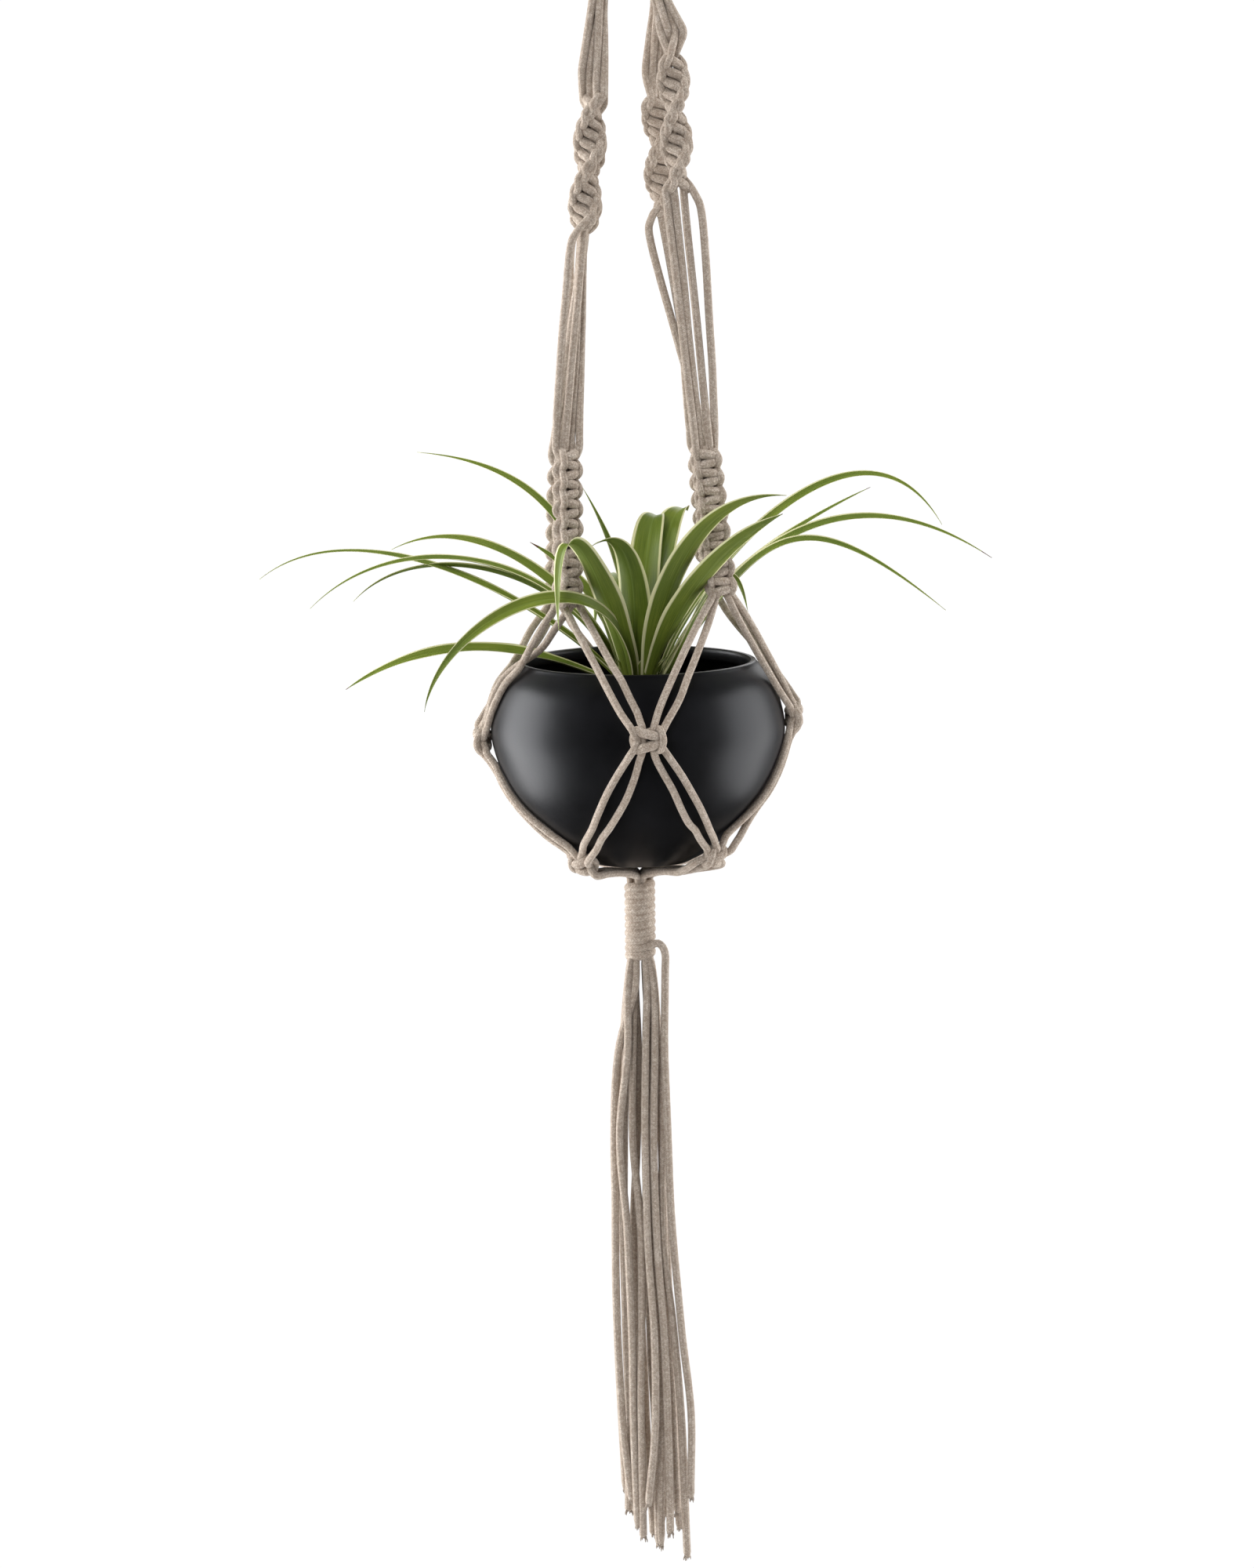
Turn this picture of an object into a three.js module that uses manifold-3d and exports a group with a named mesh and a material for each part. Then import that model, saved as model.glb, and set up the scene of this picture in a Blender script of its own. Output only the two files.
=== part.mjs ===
// Hanging macrame planter: a ring, four knotted arms of cord, a net with a round pot and a striped plant,
// and a wrap with a tassel below it. Millimetres, +Z up, +X to the right, -Y to the front.
// The origin is the highest point of the ring's inner edge, where a hook carries the whole planter.
import * as THREE from "three";
import { mergeVertices } from "three/addons/utils/BufferGeometryUtils.js";
import Module from "manifold-3d";

const wasm = await Module();
wasm.setup();

// ---- driving dimensions ----
const GAP = 0.6; // between pieces that touch on the real planter
const END_GAP = 1.4; // between a cord's cut end and the knot that it runs into
const CORD_R = 2;
const CORDS_PER_ARM = 4;

const RING_R = 22.5; // to the middle of the wire
const WIRE_R = 2.5;
const RING_CENTRE = WIRE_R - RING_R;
const FOLD_R = WIRE_R + CORD_R + 0.5; // a fold's middle line goes round the wire at this radius
const FOLD_FIRST = 7.2; // degrees from the ring's lowest point to the first fold on each side
const FOLD_STEP = 11.5;
const FOLD_LOW = -46;
const UPPER_TOP = -49.5; // the upper cords start below the folds, with room for the swing

const POT = { rimZ: -424, rimR: 60.6, footR: 26, height: 102, wall: 4, lip: 1.5 };
const POT_SIDES = 24;
const SOIL_DEPTH = 16; // from the rim down to the soil
const SOIL_EDGE = 3; // the soil falls away by this much where it meets the wall
const NET_CLEARANCE = CORD_R + 1.2; // from the pot's surface to a net cord's middle line

const WRAP = { topZ: -536.2, r: 8, valleyR: 7, turns: 10, length: 39, sides: 12 };
const TAIL_EXIT = [
  [4, -2, -33.5],
  [7, -3.6, -33],
  [10.6, -5.4, -31.4],
]; // where the wrap's own cord comes out of it, from the wrap's top
const TASSEL_TOP = -577.9;
const PARTING = 4; // cords run this far side by side below a knot before they part
const BUNDLE_STEP = 3; // cords squeezed into a knot lie closer than their own width

// Each arm's knots: where the spiral and the flat sinnet begin and end, and the way the flat one faces.
const ARMS = {
  front_left: {
    side: -1,
    depth: -1,
    spiral: [[-18.7, -14, -138], [-24.7, -20, -202]],
    flat: [[-33.6, -30, -313], [-34.6, -36, -391]],
    facing: 75,
    slack: [-9, -1],
    knots: ["left", "front"],
  },
  front_right: {
    side: 1,
    depth: -1,
    spiral: [[21, -13, -119], [23.4, -19, -184]],
    flat: [[35.2, -31, -314], [42.7, -38, -386]],
    facing: 15,
    slack: [8, -2],
    knots: ["front", "right"],
  },
  back_right: {
    side: 1,
    depth: 1,
    spiral: [[13.2, 14, -140], [15.5, 20, -197]],
    flat: [[34, 32, -318], [39, 39, -392]],
    facing: -60,
    slack: [-6, 7],
    knots: ["right", "back"],
  },
  back_left: {
    side: -1,
    depth: 1,
    spiral: [[-18.6, 13, -142], [-24.4, 20, -205]],
    flat: [[-37, 32, -322], [-40, 39, -400]],
    facing: 50,
    slack: [-7, 6],
    knots: ["back", "left"],
  },
};
const SPIRAL = { width: 15, depth: 10, turn: 1.0 };
const FLAT = { width: 14.6, waist: 11, depth: 8.4, knots: 8 };

// The net's knots, by bearing round the pot (0 is +X and 90 is the back), radius and height.
const NET_KNOTS = {
  front: { bearing: 273.5, r: 79.4, z: -453 },
  right: { bearing: 0, r: 79.4, z: -453 },
  back: { bearing: 88, r: 79.4, z: -456 },
  left: { bearing: 180, r: 79.4, z: -463 },
};
const NET_KNOT_SIZE = [9.4, 4.2, 6.8]; // half sizes along the pot, out from it and up
const BASE_KNOTS = {
  front_left: { bearing: 227, r: 42, z: -523, between: ["left", "front"] },
  front_right: { bearing: 322, r: 48, z: -520, between: ["front", "right"] },
  back_right: { bearing: 44, r: 44, z: -522, between: ["right", "back"] },
  back_left: { bearing: 136, r: 43, z: -522.5, between: ["back", "left"] },
};
const BASE_KNOT_SIZE = [7, 5, 4.4];
const LEG_END = 9; // from a net knot's middle up or down to the ends of its legs
const LEG_SPREAD = { inner: 3.9, outer: 8.6 }; // how far to the side of a net knot's middle the legs end
const LEG_SHARES = [0.3, 0.5, 0.66, 0.82];
// The lower legs end above and beside the base knot's middle, and the two of a pair bow apart by degrees.
const LOWER_LEG = { above: 4, beside: [9, 8.5], bow: [-2.3, 2.3], short: [0, 0.05] };

// The tassel's cords: for each quarter, each cord's [x, y] at the drops below, then its end and length.
const TASSEL_DROPS = [45, 90, 140, 190, 240];
const TASSEL_CORDS = {
  front_left: {
    sign: [-1, -1],
    cords: [
      { at: [[-11.6, -5], [-14.6, -4], [-14.5, -3], [-14.4, -3], [-12.5, -4]], end: [-8, -5], length: 285 },
      { at: [[-7.8, -1.9], [-9.5, -1.2], [-10.2, 0.4], [-9.8, 0.6], [-9, 0]], end: [-10, -1], length: 291 },
      { at: [[-7.2, -9], [-11.8, -9.2], [-8.5, -9], [-7.2, -8.5], [-6.5, -8]], end: [-5, -8], length: 298 },
      { at: [[-4.4, -5], [-5.2, -5.5], [-1.5, -8], [-1.5, -8.6], [-2.5, -9.2]], end: [-2, -9], length: 303 },
    ],
  },
  front_right: {
    sign: [1, -1],
    cords: [
      { at: [[2.1, -9], [1.2, -11], [1.8, -11.8], [4.7, -12.4], [4.8, -12.8]], end: [0.8, -13], length: 285 },
      { at: [[9.1, -4.5], [10.2, -6], [9.2, -8], [14.5, -8], [18.4, -7]], end: [20.6, -6], length: 315 },
      { at: [[6.5, -9], [6, -10.5], [6.5, -11.5], [9.5, -11.5], [11.5, -11]], end: [12, -10], length: 301 },
      { at: [[4.5, -4], [5, -5.5], [4.8, -6], [6.5, -6.5], [8, -7]], end: [7, -7], length: 308 },
    ],
  },
  back_right: {
    sign: [1, 1],
    cords: [
      { at: [[3, 9.5], [3.5, 12], [4.5, 12.5], [6, 12.5], [8, 11.5]], end: [9.5, 10], length: 297 },
      { at: [[8.5, 1.5], [9.5, 0.5], [10.5, 0], [12, -0.5], [14, -0.5]], end: [15.5, 0], length: 293 },
      { at: [[8.5, 6.5], [10, 7], [11.5, 7], [13, 6.5], [15, 6]], end: [17, 6], length: 303 },
      { at: [[3.2, 2.4], [2.6, 3.2], [1, 4], [2.5, 4.5], [4.5, 4.5]], end: [6, 4], length: 311 },
    ],
  },
  back_left: {
    sign: [-1, 1],
    cords: [
      { at: [[-3.5, 9], [-4, 11], [-3.5, 12], [-2, 12.5], [0, 12]], end: [3, 11], length: 307 },
      { at: [[-9.5, 2.3], [-13.5, 2.4], [-15, 2.8], [-14.5, 3.2], [-13, 3]], end: [-11, 3], length: 281 },
      { at: [[-9.5, 6.8], [-11.5, 7.2], [-11, 8], [-10, 8.5], [-8, 9]], end: [-6, 9], length: 295 },
      { at: [[-1.9, 2.5], [-2.6, 3], [-5, 3.4], [-4.5, 3.2], [-3, 2.6]], end: [-1, 2], length: 289 },
    ],
  },
};
// Where the four cords of a quarter lie as they leave the wrap, in the order of the rows above.
const TASSEL_NECK = [[2.2, 5], [5, 2.2], [4.9, 4.9], [2.2, 2.2]];
const WRAP_TAIL = [
  [12.6, -6.6, -580],
  [12.2, -7.6, -592],
  [11.5, -8.6, -623],
  [12.8, -10.2, -668],
  [14.7, -10, -718],
  [18.8, -10, -768],
  [23.4, -9.5, -818],
  [22.9, -10.6, -860],
];

// The plant, measured from the rim's centre: leaves that grow from one place share a base, and each leaf's
// middle line is a cubic curve from there by two handles to its tip.
const LEAVES = {
  leaves_left_high: {
    base: [-8, 7, -9],
    blades: [
      { route: [[-26, 8, 53], [-36, 16, 99], [-112, 54, 103]], width: 5.5 },
      { route: [[-15, 16, 24], [-26, 20, 42], [-54, 24, 59]], width: 7 },
      { route: [[-27, 12, 32], [-77, 18, 80], [-125, 24, 56]], width: 7.5 },
    ],
  },
  leaves_left_long: {
    base: [-11, 0, -8],
    blades: [
      { route: [[-48, -2, 32], [-141, 4, 83], [-192, 12, 43]], width: 6.5 },
      { route: [[-34, -6, 57], [-120, -10, 75], [-165, -16, 31]], width: 6 },
      { route: [[-26, 3, 44], [-109, 6, 69], [-144, 4, 32]], width: 6 },
    ],
  },
  leaf_left_low: {
    base: [-18, 5, -9],
    blades: [{ route: [[-61, 8, 9], [-104, 10, 15], [-149, 10, -14]], width: 7 }],
  },
  leaves_front_arching: {
    base: [-4, -9, -8],
    blades: [
      { route: [[-11, -36, 33], [-41, -74, 119], [-39, -60, 24]], width: 12 },
      { route: [[0, -14, 12], [4, -34, 79], [-22, -42, 64]], width: 11 },
      { route: [[-8, -66, 73], [-98, -68, 35], [-107, -48, -18]], width: 8.5 },
    ],
  },
  leaves_centre_upright: {
    base: [3, 1, -8],
    blades: [
      { route: [[2, 6, 22], [6, 6, 82], [12, 36, 70]], width: 13 },
      { route: [[10, 12, 21], [15, 14, 86], [27, 46, 72]], width: 12 },
      { route: [[12, 0, 13], [13, -4, 35], [25, -6, 53]], width: 6 },
    ],
  },
  leaves_right_front: {
    base: [7, -9, -7],
    blades: [
      { route: [[11, -34, 36], [28, -62, 93], [75, -60, 90]], width: 11.5 },
      { route: [[19, -38, 33], [41, -60, 66], [73, -62, 81]], width: 9.5 },
    ],
  },
  leaf_right_high: {
    base: [12, 10, -9],
    blades: [{ route: [[27, 14, 38], [113, 16, 141], [156, 10, 67]], width: 6.5 }],
  },
  leaves_right_long: {
    base: [13, 2, -8],
    blades: [
      { route: [[33, 4, 37], [76, 2, 67], [119, -4, 88]], width: 4 },
      { route: [[53, -6, 61], [108, -8, 100], [180, -10, 52]], width: 7 },
    ],
  },
  leaves_right_low: {
    base: [14, -9, -7],
    blades: [
      { route: [[65, -16, 68], [80, -22, 89], [156, -22, 27]], width: 6 },
      { route: [[24, -24, 5], [46, -28, 81], [56, -28, 28]], width: 5 },
    ],
  },
  leaves_back_left: {
    base: [-3, 11, -9],
    blades: [
      { route: [[-1, 18, 26], [-10, 26, 57], [-27, 34, 86]], width: 7 },
      { route: [[-10, 42, 50], [-20, 84, 52], [-22, 112, 2]], width: 9 },
    ],
  },
  leaf_back_right: {
    base: [5, 13, -9],
    blades: [{ route: [[12, 40, 56], [20, 84, 44], [22, 104, -4]], width: 9 }],
  },
};
const LEAF_THICKNESS = 0.8;
const CROWN = { r: 9, topR: 6, top: -10.5, sides: 12 };

// ---- materials ----
const cotton = new THREE.MeshStandardMaterial({ color: 0xc9b9a2, roughness: 0.95 });
const brass = new THREE.MeshStandardMaterial({ color: 0xb08d4f, roughness: 0.35, metalness: 1 });
const blackGlaze = new THREE.MeshStandardMaterial({ color: 0x101012, roughness: 0.4 });
const earth = new THREE.MeshStandardMaterial({ color: 0x2a1d14, roughness: 1 });
const leafGreen = new THREE.MeshStandardMaterial({ color: 0x6f9440, roughness: 0.55 });

// ---- small tools ----
const vector = (point) => new THREE.Vector3(...point);
const radians = THREE.MathUtils.degToRad;
const between = (a, b, share) => a.clone().lerp(b, share);

function solidOf(geometry) {
  const bare = geometry.index ? geometry.toNonIndexed() : geometry.clone();
  bare.deleteAttribute("normal");
  bare.deleteAttribute("uv");
  const merged = mergeVertices(bare, 1e-3);
  return new wasm.Manifold(
    new wasm.Mesh({
      numProp: 3,
      vertProperties: merged.attributes.position.array,
      triVerts: new Uint32Array(merged.index.array),
    }),
  );
}

function joined(geometries) {
  const mesh = geometries
    .map(solidOf)
    .reduce((whole, piece) => whole.add(piece))
    .getMesh();
  const geometry = new THREE.BufferGeometry();
  geometry.setAttribute("position", new THREE.BufferAttribute(mesh.vertProperties, 3));
  geometry.setIndex(new THREE.BufferAttribute(mesh.triVerts, 1));
  geometry.computeVertexNormals();
  return geometry;
}

function addPiece(group, name, geometry, material) {
  const mesh = new THREE.Mesh(geometry, material);
  mesh.name = name;
  group.add(mesh);
  return mesh;
}

// A cord: a closed tube of even section along a smooth route through the points.
function cordAlong(points, steps, sides = 6) {
  const section = new THREE.Shape().absarc(0, 0, CORD_R, 0, 2 * Math.PI);
  return new THREE.ExtrudeGeometry(section, {
    extrudePath: new THREE.CatmullRomCurve3(points),
    steps,
    curveSegments: sides / 2,
    bevelEnabled: false,
  });
}

// ---- ring and the folds of the cords over its wire ----
function foldAngles(side) {
  return Array.from({ length: CORDS_PER_ARM }, (_, i) => side * radians(FOLD_FIRST + FOLD_STEP * i));
}

function foldOverWire(angle) {
  const outward = new THREE.Vector3(Math.sin(angle), 0, -Math.cos(angle));
  const wire = new THREE.Vector3(0, 0, RING_CENTRE).addScaledVector(outward, RING_R);
  const points = [new THREE.Vector3(wire.x, -FOLD_R, FOLD_LOW)];
  for (let turn = -90; turn <= 90; turn += 45) {
    const point = wire.clone().addScaledVector(outward, -FOLD_R * Math.cos(radians(turn)));
    point.y = FOLD_R * Math.sin(radians(turn));
    points.push(point);
  }
  points.push(new THREE.Vector3(wire.x, FOLD_R, FOLD_LOW));
  return cordAlong(points, 9);
}

// ---- the arms ----
// The four cords side by side in two rows, or in one row facing the given way.
function bundle(centre, step = BUNDLE_STEP) {
  return [[-1, -1], [-1, 1], [1, -1], [1, 1]].map(
    ([x, y]) => new THREE.Vector3(centre.x + (x * step) / 2, centre.y + (y * step) / 2, centre.z),
  );
}

function row(centre, facing, step = BUNDLE_STEP) {
  const along = new THREE.Vector3(Math.cos(radians(facing)), Math.sin(radians(facing)), 0);
  return Array.from({ length: CORDS_PER_ARM }, (_, i) =>
    centre.clone().addScaledVector(along, step * (i - (CORDS_PER_ARM - 1) / 2)),
  );
}

function beyond(from, to, distance) {
  return to.clone().addScaledVector(to.clone().sub(from).normalize(), distance);
}

function upperCords(arm) {
  const [top, end] = arm.spiral.map(vector);
  const knot = bundle(beyond(end, top, END_GAP));
  const order = arm.side < 0 ? [3, 2, 1, 0] : [0, 1, 2, 3];
  return joined(
    foldAngles(arm.side).map((angle, i) => {
      const start = new THREE.Vector3(RING_R * Math.sin(angle), arm.depth * FOLD_R, UPPER_TOP);
      return cordAlong([start, between(start, knot[order[i]], 0.5), knot[order[i]]], 2);
    }),
  );
}

function middleCords(arm) {
  const [top, end] = [vector(arm.spiral[1]), vector(arm.flat[0])];
  const starts = bundle(beyond(vector(arm.spiral[0]), top, END_GAP));
  const ends = row(beyond(vector(arm.flat[1]), end, END_GAP), arm.facing, BUNDLE_STEP * 1.2);
  const slack = new THREE.Vector3(arm.slack[0], arm.slack[1], 0);
  return joined(
    starts.map((start, i) => {
      const points = [start, between(start, ends[i], 0.12), between(start, ends[i], 0.5), ends[i]];
      if (i === 0) {
        points[1].add(slack);
        points[2].addScaledVector(slack, 0.6);
      }
      return cordAlong(points, 5);
    }),
  );
}

// A prism along +Z, set with its top at one point and its foot at another.
function spanning(geometry, top, end) {
  const down = end.clone().sub(top).normalize();
  const turn = new THREE.Quaternion().setFromUnitVectors(new THREE.Vector3(0, 0, -1), down);
  return geometry.applyQuaternion(turn).translate(top.x, top.y, top.z);
}

function spiralSinnet(arm) {
  const [top, end] = arm.spiral.map(vector);
  const length = top.distanceTo(end);
  const section = new THREE.Shape().absellipse(0, 0, SPIRAL.width / 2, SPIRAL.depth / 2, 0, 2 * Math.PI);
  const steps = 10;
  const geometry = new THREE.ExtrudeGeometry(section, {
    depth: length,
    steps,
    curveSegments: 4,
    bevelEnabled: false,
  });
  const place = geometry.attributes.position;
  for (let i = 0; i < place.count; i++) {
    const point = new THREE.Vector3().fromBufferAttribute(place, i);
    point.applyAxisAngle(new THREE.Vector3(0, 0, 1), (SPIRAL.turn * 2 * Math.PI * point.z) / length);
    place.setXYZ(i, point.x, point.y, point.z - length);
  }
  return spanning(geometry, top, end);
}

function flatSinnet(arm) {
  const [top, end] = arm.flat.map(vector);
  const pitch = top.distanceTo(end) / FLAT.knots;
  const side = (sign) => {
    const points = [];
    for (let knot = FLAT.knots; knot > 0; knot--) {
      const start = -pitch * knot;
      points.push([(sign * FLAT.waist) / 2, start], [(sign * FLAT.width) / 2, start + pitch * 0.35]);
      points.push([(sign * FLAT.width) / 2, start + pitch * 0.65]);
    }
    points.push([(sign * FLAT.waist) / 2, 0]);
    return points;
  };
  const outline = [...side(1), ...side(-1).reverse()].map(([x, y]) => new THREE.Vector2(x, y));
  const geometry = new THREE.ExtrudeGeometry(new THREE.Shape(outline), {
    depth: FLAT.depth,
    bevelEnabled: false,
  });
  geometry.translate(0, 0, -FLAT.depth / 2).rotateX(Math.PI / 2).rotateZ(radians(arm.facing));
  return spanning(geometry, top, end);
}

// ---- the pot ----
// The pot's outside from the rim to the foot, as [radius, height from the rim].
const POT_PROFILE = new THREE.SplineCurve(
  [
    [POT.rimR, 0],
    [69, -10],
    [73.4, -23],
    [75, -34],
    [73.2, -45],
    [65.2, -65],
    [50, -84],
    [36, -96.5],
    [POT.footR, -POT.height],
  ].map(([r, z]) => new THREE.Vector2(r, z)),
);
const PROFILE_LENGTH = POT_PROFILE.getLength();
const PROFILE_STEPS = 10;

// The pot's profile moved off its surface: outward by a positive lift, into the wall by a negative one.
function liftedProfile(share, lift) {
  const point = POT_PROFILE.getPointAt(share);
  const along = POT_PROFILE.getTangentAt(share);
  return new THREE.Vector2(point.x - along.y * lift, point.y + along.x * lift);
}

// A point at a bearing round the pot and a share of the way from rim to foot, lifted off the surface.
function onPot(bearing, share, lift = NET_CLEARANCE) {
  const { x: r, y: z } = liftedProfile(THREE.MathUtils.clamp(share, 0, 1), lift);
  return new THREE.Vector3(r * Math.cos(radians(bearing)), r * Math.sin(radians(bearing)), POT.rimZ + z);
}

// The share of the profile at which the pot's outside passes a height.
function shareAt(z) {
  let low = 0;
  let high = 1;
  while (high - low > 1e-4) {
    const middle = (low + high) / 2;
    if (POT_PROFILE.getPointAt(middle).y > z - POT.rimZ) low = middle;
    else high = middle;
  }
  return low;
}

// The hollow of the pot at a depth below its outer surface, from its highest ring down to the floor.
function hollowProfile(inset, highest) {
  const floor = inset - POT.height;
  const wall = Array.from({ length: PROFILE_STEPS + 1 }, (_, i) => liftedProfile(i / PROFILE_STEPS, -inset));
  const below = wall.filter((p) => p.y < highest && p.y > floor + inset);
  return [...below, new THREE.Vector2(POT.footR - inset, floor), new THREE.Vector2(0, floor)];
}

function potShell() {
  const profile = [
    new THREE.Vector2(0, -POT.height),
    ...POT_PROFILE.getSpacedPoints(PROFILE_STEPS).reverse(),
    new THREE.Vector2(POT.rimR - POT.lip, POT.lip / 2),
    new THREE.Vector2(POT.rimR - POT.wall, 0),
    ...hollowProfile(POT.wall, -POT.lip),
  ];
  return new THREE.LatheGeometry(profile, POT_SIDES).rotateX(Math.PI / 2);
}

function soilFill() {
  const below = hollowProfile(POT.wall + GAP, -SOIL_DEPTH);
  const profile = [
    new THREE.Vector2(0, -SOIL_DEPTH),
    new THREE.Vector2(below[0].x - SOIL_EDGE, -SOIL_DEPTH),
    ...below,
  ];
  return new THREE.LatheGeometry(profile.reverse(), POT_SIDES).rotateX(Math.PI / 2);
}

// ---- the net ----
function bearingOf(point) {
  return THREE.MathUtils.radToDeg(Math.atan2(point.y, point.x));
}

// The nearer way round from one bearing to another, in degrees.
function turnTo(from, to) {
  return ((((to - from) % 360) + 540) % 360) - 180;
}

function knotPlace({ bearing, r, z }) {
  return new THREE.Vector3(r * Math.cos(radians(bearing)), r * Math.sin(radians(bearing)), z);
}

function knotSolid(knot, [along, out, up]) {
  const geometry = new THREE.SphereGeometry(1, 8, 6).rotateX(Math.PI / 2).scale(along, out, up);
  const place = knotPlace(knot);
  return geometry.rotateZ(radians(knot.bearing + 90)).translate(place.x, place.y, place.z);
}

// Which side of an arm a point lies on: 1 if it is anticlockwise from the arm, seen from above, and -1 if not.
function sideOfArm(armEnd, point) {
  const across = new THREE.Vector3(-armEnd.y, armEnd.x, 0);
  return Math.sign(point.clone().sub(armEnd).dot(across));
}

// A leg's point, moved out to the pot's rim or shoulder if it would lie inside it.
function clearOfPot(point) {
  const surface = onPot(bearingOf(point), point.z > POT.rimZ ? 0 : shareAt(point.z));
  const least = Math.hypot(surface.x, surface.y);
  const r = Math.hypot(point.x, point.y);
  const besidePot = point.z < POT.rimZ + NET_CLEARANCE;
  if (besidePot && r < least) point.multiply(new THREE.Vector3(least / r, least / r, 1));
  return point;
}

// Four cords from an arm's flat sinnet, two to each of its net knots: past the rim and down the shoulder.
function netLegs(arm) {
  const [top, end] = arm.flat.map(vector);
  const exit = beyond(top, end, END_GAP);
  const parting = beyond(top, end, END_GAP + PARTING).sub(exit);
  return joined(
    row(exit, arm.facing).map((start, i) => {
      const side = sideOfArm(end, start);
      const name = arm.knots.find((knotName) => sideOfArm(end, knotPlace(NET_KNOTS[knotName])) === side);
      const knot = NET_KNOTS[name];
      const middleOfRow = i === 1 || i === 2;
      const spread = THREE.MathUtils.radToDeg((middleOfRow ? LEG_SPREAD.inner : LEG_SPREAD.outer) / knot.r);
      const finish = onPot(knot.bearing - side * spread, shareAt(knot.z + LEG_END));
      const onTheWay = LEG_SHARES.map((share) => clearOfPot(between(start, finish, share)));
      return cordAlong([start, start.clone().add(parting), ...onTheWay, finish], 6);
    }),
  );
}

// The four cords below a net knot: two to the base knot on each side, over the pot's lower half.
function lowerLegs(name) {
  const knot = NET_KNOTS[name];
  const highest = shareAt(knot.z - LEG_END);
  const from = highest + PARTING / PROFILE_LENGTH;
  const cords = [];
  for (const base of Object.values(BASE_KNOTS)) {
    if (!base.between.includes(name)) continue;
    const side = Math.sign(turnTo(knot.bearing, base.bearing));
    const to = shareAt(base.z + LOWER_LEG.above);
    [BUNDLE_STEP / 2, BUNDLE_STEP * 1.5].forEach((spread, i) => {
      const start = knot.bearing + side * THREE.MathUtils.radToDeg(spread / knot.r);
      const end = base.bearing - side * THREE.MathUtils.radToDeg(LOWER_LEG.beside[i] / base.r);
      const points = [onPot(start, highest)];
      for (let share = 0; share <= 1; share += 0.2) {
        const bow = side * LOWER_LEG.bow[i] * Math.sin(Math.PI * share);
        const bearing = start + turnTo(start, end) * share + bow;
        points.push(onPot(bearing, from + (to - LOWER_LEG.short[i] - from) * share));
      }
      cords.push(cordAlong(points, 6));
    });
  }
  return joined(cords);
}

// The four cords from a base knot in under the pot's foot to the top of the wrap.
function baseCords(base) {
  const out = new THREE.Vector3(Math.cos(radians(base.bearing)), Math.sin(radians(base.bearing)), 0);
  const along = new THREE.Vector3(-out.y, out.x, 0);
  const underFoot = POT.rimZ - POT.height - CORD_R;
  const stations = [
    { r: base.r - BASE_KNOT_SIZE[1] - CORD_R, z: base.z - 2.5, step: 3.6 },
    { r: POT.footR + 2, z: underFoot - 0.8, step: 3.3 },
    { r: 14, z: underFoot - 1.6, step: 2.8 },
    { r: 7.6, z: underFoot - 3, step: 2.3 },
  ];
  return joined(
    Array.from({ length: CORDS_PER_ARM }, (_, i) => {
      const offset = i - (CORDS_PER_ARM - 1) / 2;
      const points = stations.map(({ r, z, step }) =>
        new THREE.Vector3(0, 0, z).addScaledVector(out, r).addScaledVector(along, offset * step),
      );
      return cordAlong(points, 4);
    }),
  );
}

// ---- the wrap and the tassel ----
function gatheringWrap() {
  const pitch = WRAP.length / WRAP.turns;
  const profile = [new THREE.Vector2(0, -WRAP.length)];
  for (let turn = WRAP.turns; turn > 0; turn--) {
    profile.push(new THREE.Vector2(WRAP.valleyR, -pitch * turn));
    profile.push(new THREE.Vector2(WRAP.r, -pitch * (turn - 0.5)));
  }
  profile.push(new THREE.Vector2(WRAP.valleyR, 0), new THREE.Vector2(0, 0));
  const body = new THREE.LatheGeometry(profile, WRAP.sides).rotateX(Math.PI / 2);
  return joined([body, cordAlong(TAIL_EXIT.map(vector), 2)]);
}

function tasselCords({ sign, cords }) {
  return joined(
    cords.map(({ at, end, length }, i) => {
      const neck = TASSEL_NECK[i].map((value, axis) => value * sign[axis]);
      const points = [
        new THREE.Vector3(neck[0], neck[1], 0),
        new THREE.Vector3(neck[0] * 1.35, neck[1] * 1.35, -14),
        ...at.map(([x, y], k) => new THREE.Vector3(x, y, -TASSEL_DROPS[k])),
        new THREE.Vector3(end[0], end[1], -length),
      ];
      return cordAlong(points, 9, 8);
    }),
  );
}

// ---- the plant ----
// A leaf blade: a thin closed strip bent along its route, broad near the base and pointed at the tip.
function leafBlade(base, { route, width }) {
  const line = new THREE.CubicBezierCurve3(...[base, ...route].map(vector));
  const steps = 6;
  const geometry = new THREE.BoxGeometry(1, 1, 1, 1, 1, steps);
  const place = geometry.attributes.position;
  const plan = line.v3.clone().sub(line.v0).setZ(0).normalize();
  const sideways = new THREE.Vector3(-plan.y, plan.x, 0);
  for (let i = 0; i < place.count; i++) {
    const share = place.getZ(i) + 0.5;
    const swell = 0.5 + 0.5 * THREE.MathUtils.smoothstep(share, 0, 0.35);
    const across = width * swell * Math.max(0.1, Math.sqrt(1 - share ** 3));
    const tangent = line.getTangentAt(share);
    const facing = new THREE.Vector3().crossVectors(tangent, sideways).normalize();
    const point = line
      .getPointAt(share)
      .addScaledVector(sideways, place.getX(i) * across)
      .addScaledVector(facing, place.getY(i) * LEAF_THICKNESS);
    place.setXYZ(i, point.x, point.y, point.z);
  }
  return geometry;
}

// ---- assembly ----
const planter = new THREE.Group();

const ring = addPiece(planter, "hanging_ring", new THREE.TorusGeometry(RING_R, WIRE_R, 8, 20), brass);
ring.rotation.x = Math.PI / 2;
ring.position.z = RING_CENTRE;
addPiece(planter, "left_cord_folds", joined(foldAngles(-1).map(foldOverWire)), cotton);
addPiece(planter, "right_cord_folds", joined(foldAngles(1).map(foldOverWire)), cotton);

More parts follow.
